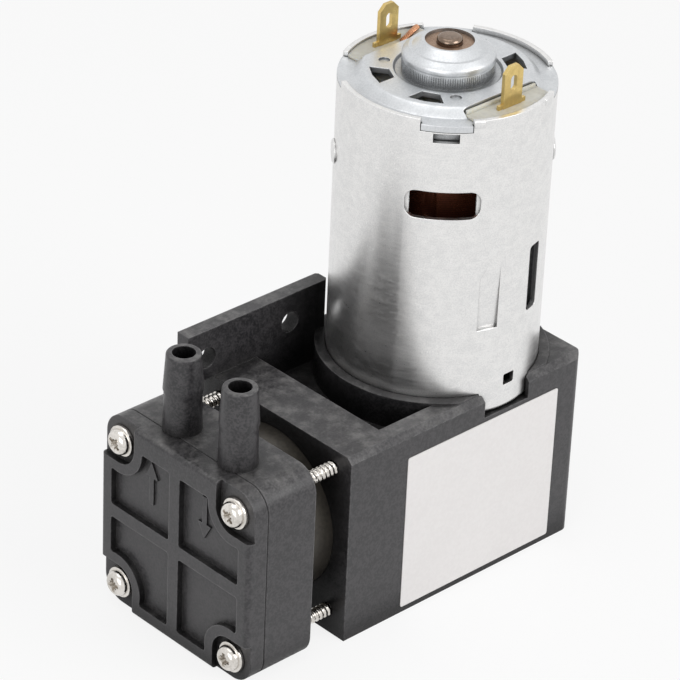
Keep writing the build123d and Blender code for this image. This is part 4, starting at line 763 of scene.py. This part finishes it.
def strandMesh(points, look, offset, steps=44, around=8):
    # One strand of a twisted lead, swept along its own helix.
    centres = []
    for index in range(steps + 1):
        share = index / steps
        middle = alongPath(points, share)
        before = alongPath(points, max(0.0, share - 0.02))
        ahead = (alongPath(points, min(1.0, share + 0.02)) - before).normalized()
        side = ahead.cross(Vector((0, 0, 1))).normalized()
        lift = side.cross(ahead)
        turn = 2 * math.pi * (look["leadTwists"] * share + offset)
        reach = look["leadSpread"] * mm
        centres.append((middle + (side * math.cos(turn) + lift * math.sin(turn) * 0.7) * reach, side, lift))
    rows = []
    for centre, side, lift in centres:
        turns = [2 * math.pi * index / around for index in range(around)]
        radius = look["leadStrand"] * mm
        rows.append([centre + (side * math.cos(turn) + lift * math.sin(turn)) * radius for turn in turns])
    return toMesh(meshFromGrid(rows), "strand")


def makeBrushLeads(top):
    # Only the rear brush's lead comes out on top; the other stays under the bell.
    look = brushEnd
    points = [(x * mm, y * mm, top + z * mm) for x, y, z in look["leadPath"]]
    strands = [strandMesh(points, look, offset / 3) for offset in range(3)]
    piece = pieceFromMesh("brushLeads", joinMeshes(strands, "brushLeads"), materials["commutator_copper"], 60.0)
    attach(piece, "housing")


def makeRimStakes(rim):
    look = brushEnd
    half = look["stakeWide"] / 2 * mm
    low = (look["stakeInner"] * mm, -half, rim + look["stakeLow"] * mm)
    high = (look["stakeOuter"] * mm, half, rim + look["stakeHigh"] * mm)
    stakes = [softBlock(low, high, look["stakeSoft"] * mm, turn) for turn in look["stakes"]]
    piece = pieceFromMesh("rimStakes", joinMeshes(stakes, "rimStakes"), materials["zinc_steel"], 40.0)
    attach(piece, "housing")


def curvedStrip(inner, outer, start, stop, low, high, steps=14):
    rows = []
    for index in range(steps + 1):
        turn = math.radians(start + (stop - start) * index / steps)
        corners = ((inner, low), (outer, low), (outer, high), (inner, high))
        rows.append([(radius * math.cos(turn), radius * math.sin(turn), level) for radius, level in corners])
    return toMesh(meshFromGrid(rows), "curvedStrip")


def makeBellLugs(rim):
    look = brushEnd
    lugs = []
    for turn in (0, 180):
        middle = look["lugAngle"] + turn
        low = rim + look["lugLow"] * mm
        high = rim + look["lugHigh"] * mm
        lugs.append(curvedStrip(look["lugInner"] * mm, look["lugOuter"] * mm, middle - look["lugHalf"],
                                middle + look["lugHalf"], low, high))
    piece = pieceFromMesh("bellLugs", joinMeshes(lugs, "bellLugs"), materials["bell_steel"], 30.0)
    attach(piece, "housing")


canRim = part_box("motor_can")[1].z
carrierTop = canRim - 0.5 * mm
makeCarrierLips(carrierTop)
makeBrushLeads(carrierTop)
makeRimStakes(canRim)
makeBellLugs(canRim)
print("stage: brush end dressed")


# Piston seal: the rod rides the crank pin without tipping, so the piston swings 2.5 mm to each side of
# the bore. The shown cup is 0.5 mm smaller in radius than the CAD one. It still cuts into the sleeve's
# wall at a quarter turn, but it no longer comes out on the outside.

pistonCup = {
    "outer": 14.4, "thick": 0.6, "hole": 1.52, "skirt": 2.2, "lean": 0.35, "heel": 0.8, "toe": 0.4, "steps": 96,
}


def spunRing(profile, axis, steps):
    # Closed profile of (distance along x, radius) turned about a line along x.
    made = bmesh.new()
    rings = []
    for index in range(steps):
        turn = 2 * math.pi * index / steps
        across, upward = math.cos(turn), math.sin(turn)
        rings.append([made.verts.new((along, axis.y + radius * across, axis.z + radius * upward))
                      for along, radius in profile])
    for index, ring in enumerate(rings):
        after = rings[(index + 1) % steps]
        for spot in range(len(profile)):
            other = (spot + 1) % len(profile)
            made.faces.new((ring[spot], ring[other], after[other], after[spot]))
    bmesh.ops.recalc_face_normals(made, faces=made.faces)
    return toMesh(made, "spunRing")


def makePistonCup():
    look = pistonCup
    low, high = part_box("piston_seal")
    base = (high.x - low.x) / mm
    inner = look["outer"] - look["thick"]
    corners = [(0.0, look["outer"]), (0.0, inner), (look["skirt"] - look["heel"] / 2, inner - look["lean"]),
               (look["skirt"], inner - look["heel"]), (look["skirt"], look["hole"]), (base, look["hole"]),
               (base, look["outer"] - look["toe"])]
    profile = [(low.x + along * mm, radius * mm) for along, radius in corners]
    mesh = spunRing(profile, (low + high) / 2, look["steps"])
    piece = pieceFromMesh("pistonCup", mesh, materials["ptfe"], 30.0)
    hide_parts("piston_seal")
    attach(piece, "rod")


makePistonCup()
print("stage: piston cup made")


# Studio: pale floor, soft boxes and the photograph's viewing angle

studio = {
    "cameraPlace": (-0.46037, -0.44553, 0.42244),
    "cameraRight": (0.730966, -0.681291, 0.039136),
    "cameraUp": (0.324407, 0.397369, 0.858404),
    "lens": 200.05,
    "sensor": 36.0,
    "floorReach": 6.0, "floorLevel": -0.00002, "floorTone": tint(0.86, 0.86, 0.86), "floorGlow": 0.84,
    "roomTone": 0.42, "lampAim": (0.0, 0.0, 0.045),
    "keyPower": 4.6, "keyPlace": (0.25, -0.85, 0.6), "keySize": 0.6,
    "fillPower": 3.4, "fillPlace": (-0.95, -0.35, 0.4), "fillSize": 0.7,
    "topPower": 1.4, "topPlace": (-0.1, 0.1, 0.95), "topSize": 0.6,
}


def straightRays(tree):
    # 1 on rays from the camera, reflections and glass, 0 on the light that reaches the object.
    path = newNode(tree, "ShaderNodeLightPath")
    mirrored = mathNode(tree, "MAXIMUM", path.outputs["Is Glossy Ray"], path.outputs["Is Transmission Ray"])
    return mathNode(tree, "MAXIMUM", path.outputs["Is Camera Ray"], mirrored)


def makeFloor():
    reach = studio["floorReach"]
    made = bmesh.new()
    corners = [made.verts.new((x * reach, y * reach, studio["floorLevel"]))
               for x, y in ((-1, -1), (1, -1), (1, 1), (-1, 1))]
    made.faces.new(corners)
    floor = bpy.data.objects.new("studioFloor", toMesh(made, "studioFloor"))
    bpy.context.scene.collection.objects.link(floor)
    material = bpy.data.materials.new("studioPaper")
    material.use_nodes = True
    tree = material.node_tree
    tree.nodes.clear()
    output = newNode(tree, "ShaderNodeOutputMaterial")
    paper = shaderNode(tree, "BsdfDiffuse", {"Color": studio["floorTone"]})
    glow = shaderNode(tree, "Emission", {"Color": tint(1.0, 1.0, 1.0), "Strength": 1.0})
    seen = straightRays(tree)
    share = mathNode(tree, "MULTIPLY", seen, studio["floorGlow"])
    both = newNode(tree, "ShaderNodeMixShader")
    tree.links.new(share, both.inputs[0])
    tree.links.new(paper.outputs[0], both.inputs[1])
    tree.links.new(glow.outputs[0], both.inputs[2])
    tree.links.new(both.outputs[0], output.inputs["Surface"])
    floor.data.materials.append(material)


def makeWorld():
    world = bpy.data.worlds.new("studioRoom")
    bpy.context.scene.world = world
    world.use_nodes = True
    tree = world.node_tree
    tree.nodes.clear()
    output = newNode(tree, "ShaderNodeOutputWorld")
    seen = straightRays(tree)
    strength = mathNode(tree, "MULTIPLY_ADD", seen, 1.0 - studio["roomTone"], studio["roomTone"])
    room = shaderNode(tree, "Background", {"Color": tint(1.0, 1.0, 1.0), "Strength": strength})
    tree.links.new(room.outputs[0], output.inputs["Surface"])


def makeLamp(name):
    spot = studio[name + "Place"]
    lamp = bpy.data.lights.new(name + "Box", "AREA")
    lamp.energy = studio[name + "Power"]
    lamp.shape = "SQUARE"
    lamp.size = studio[name + "Size"]
    holder = bpy.data.objects.new(name + "Box", lamp)
    bpy.context.scene.collection.objects.link(holder)
    holder.location = spot
    holder.rotation_euler = (Vector(studio["lampAim"]) - Vector(spot)).to_track_quat("-Z", "Y").to_euler()


def makeCamera():
    lens = bpy.data.cameras.new("photoCamera")
    lens.lens = studio["lens"]
    lens.sensor_width = studio["sensor"]
    lens.sensor_fit = "HORIZONTAL"
    lens.clip_start = 0.01
    lens.clip_end = 20.0
    camera = bpy.data.objects.new("photoCamera", lens)
    bpy.context.scene.collection.objects.link(camera)
    right = Vector(studio["cameraRight"]).normalized()
    up = Vector(studio["cameraUp"]).normalized()
    back = right.cross(up)
    turn = Matrix((right, up, back)).transposed().to_4x4()
    camera.matrix_world = Matrix.Translation(studio["cameraPlace"]) @ turn
    bpy.context.scene.camera = camera


makeFloor()
makeWorld()
for lampName in ("key", "fill", "top"):
    makeLamp(lampName)
makeCamera()
bpy.context.scene.view_settings.view_transform = "Standard"
print("stage: studio ready")
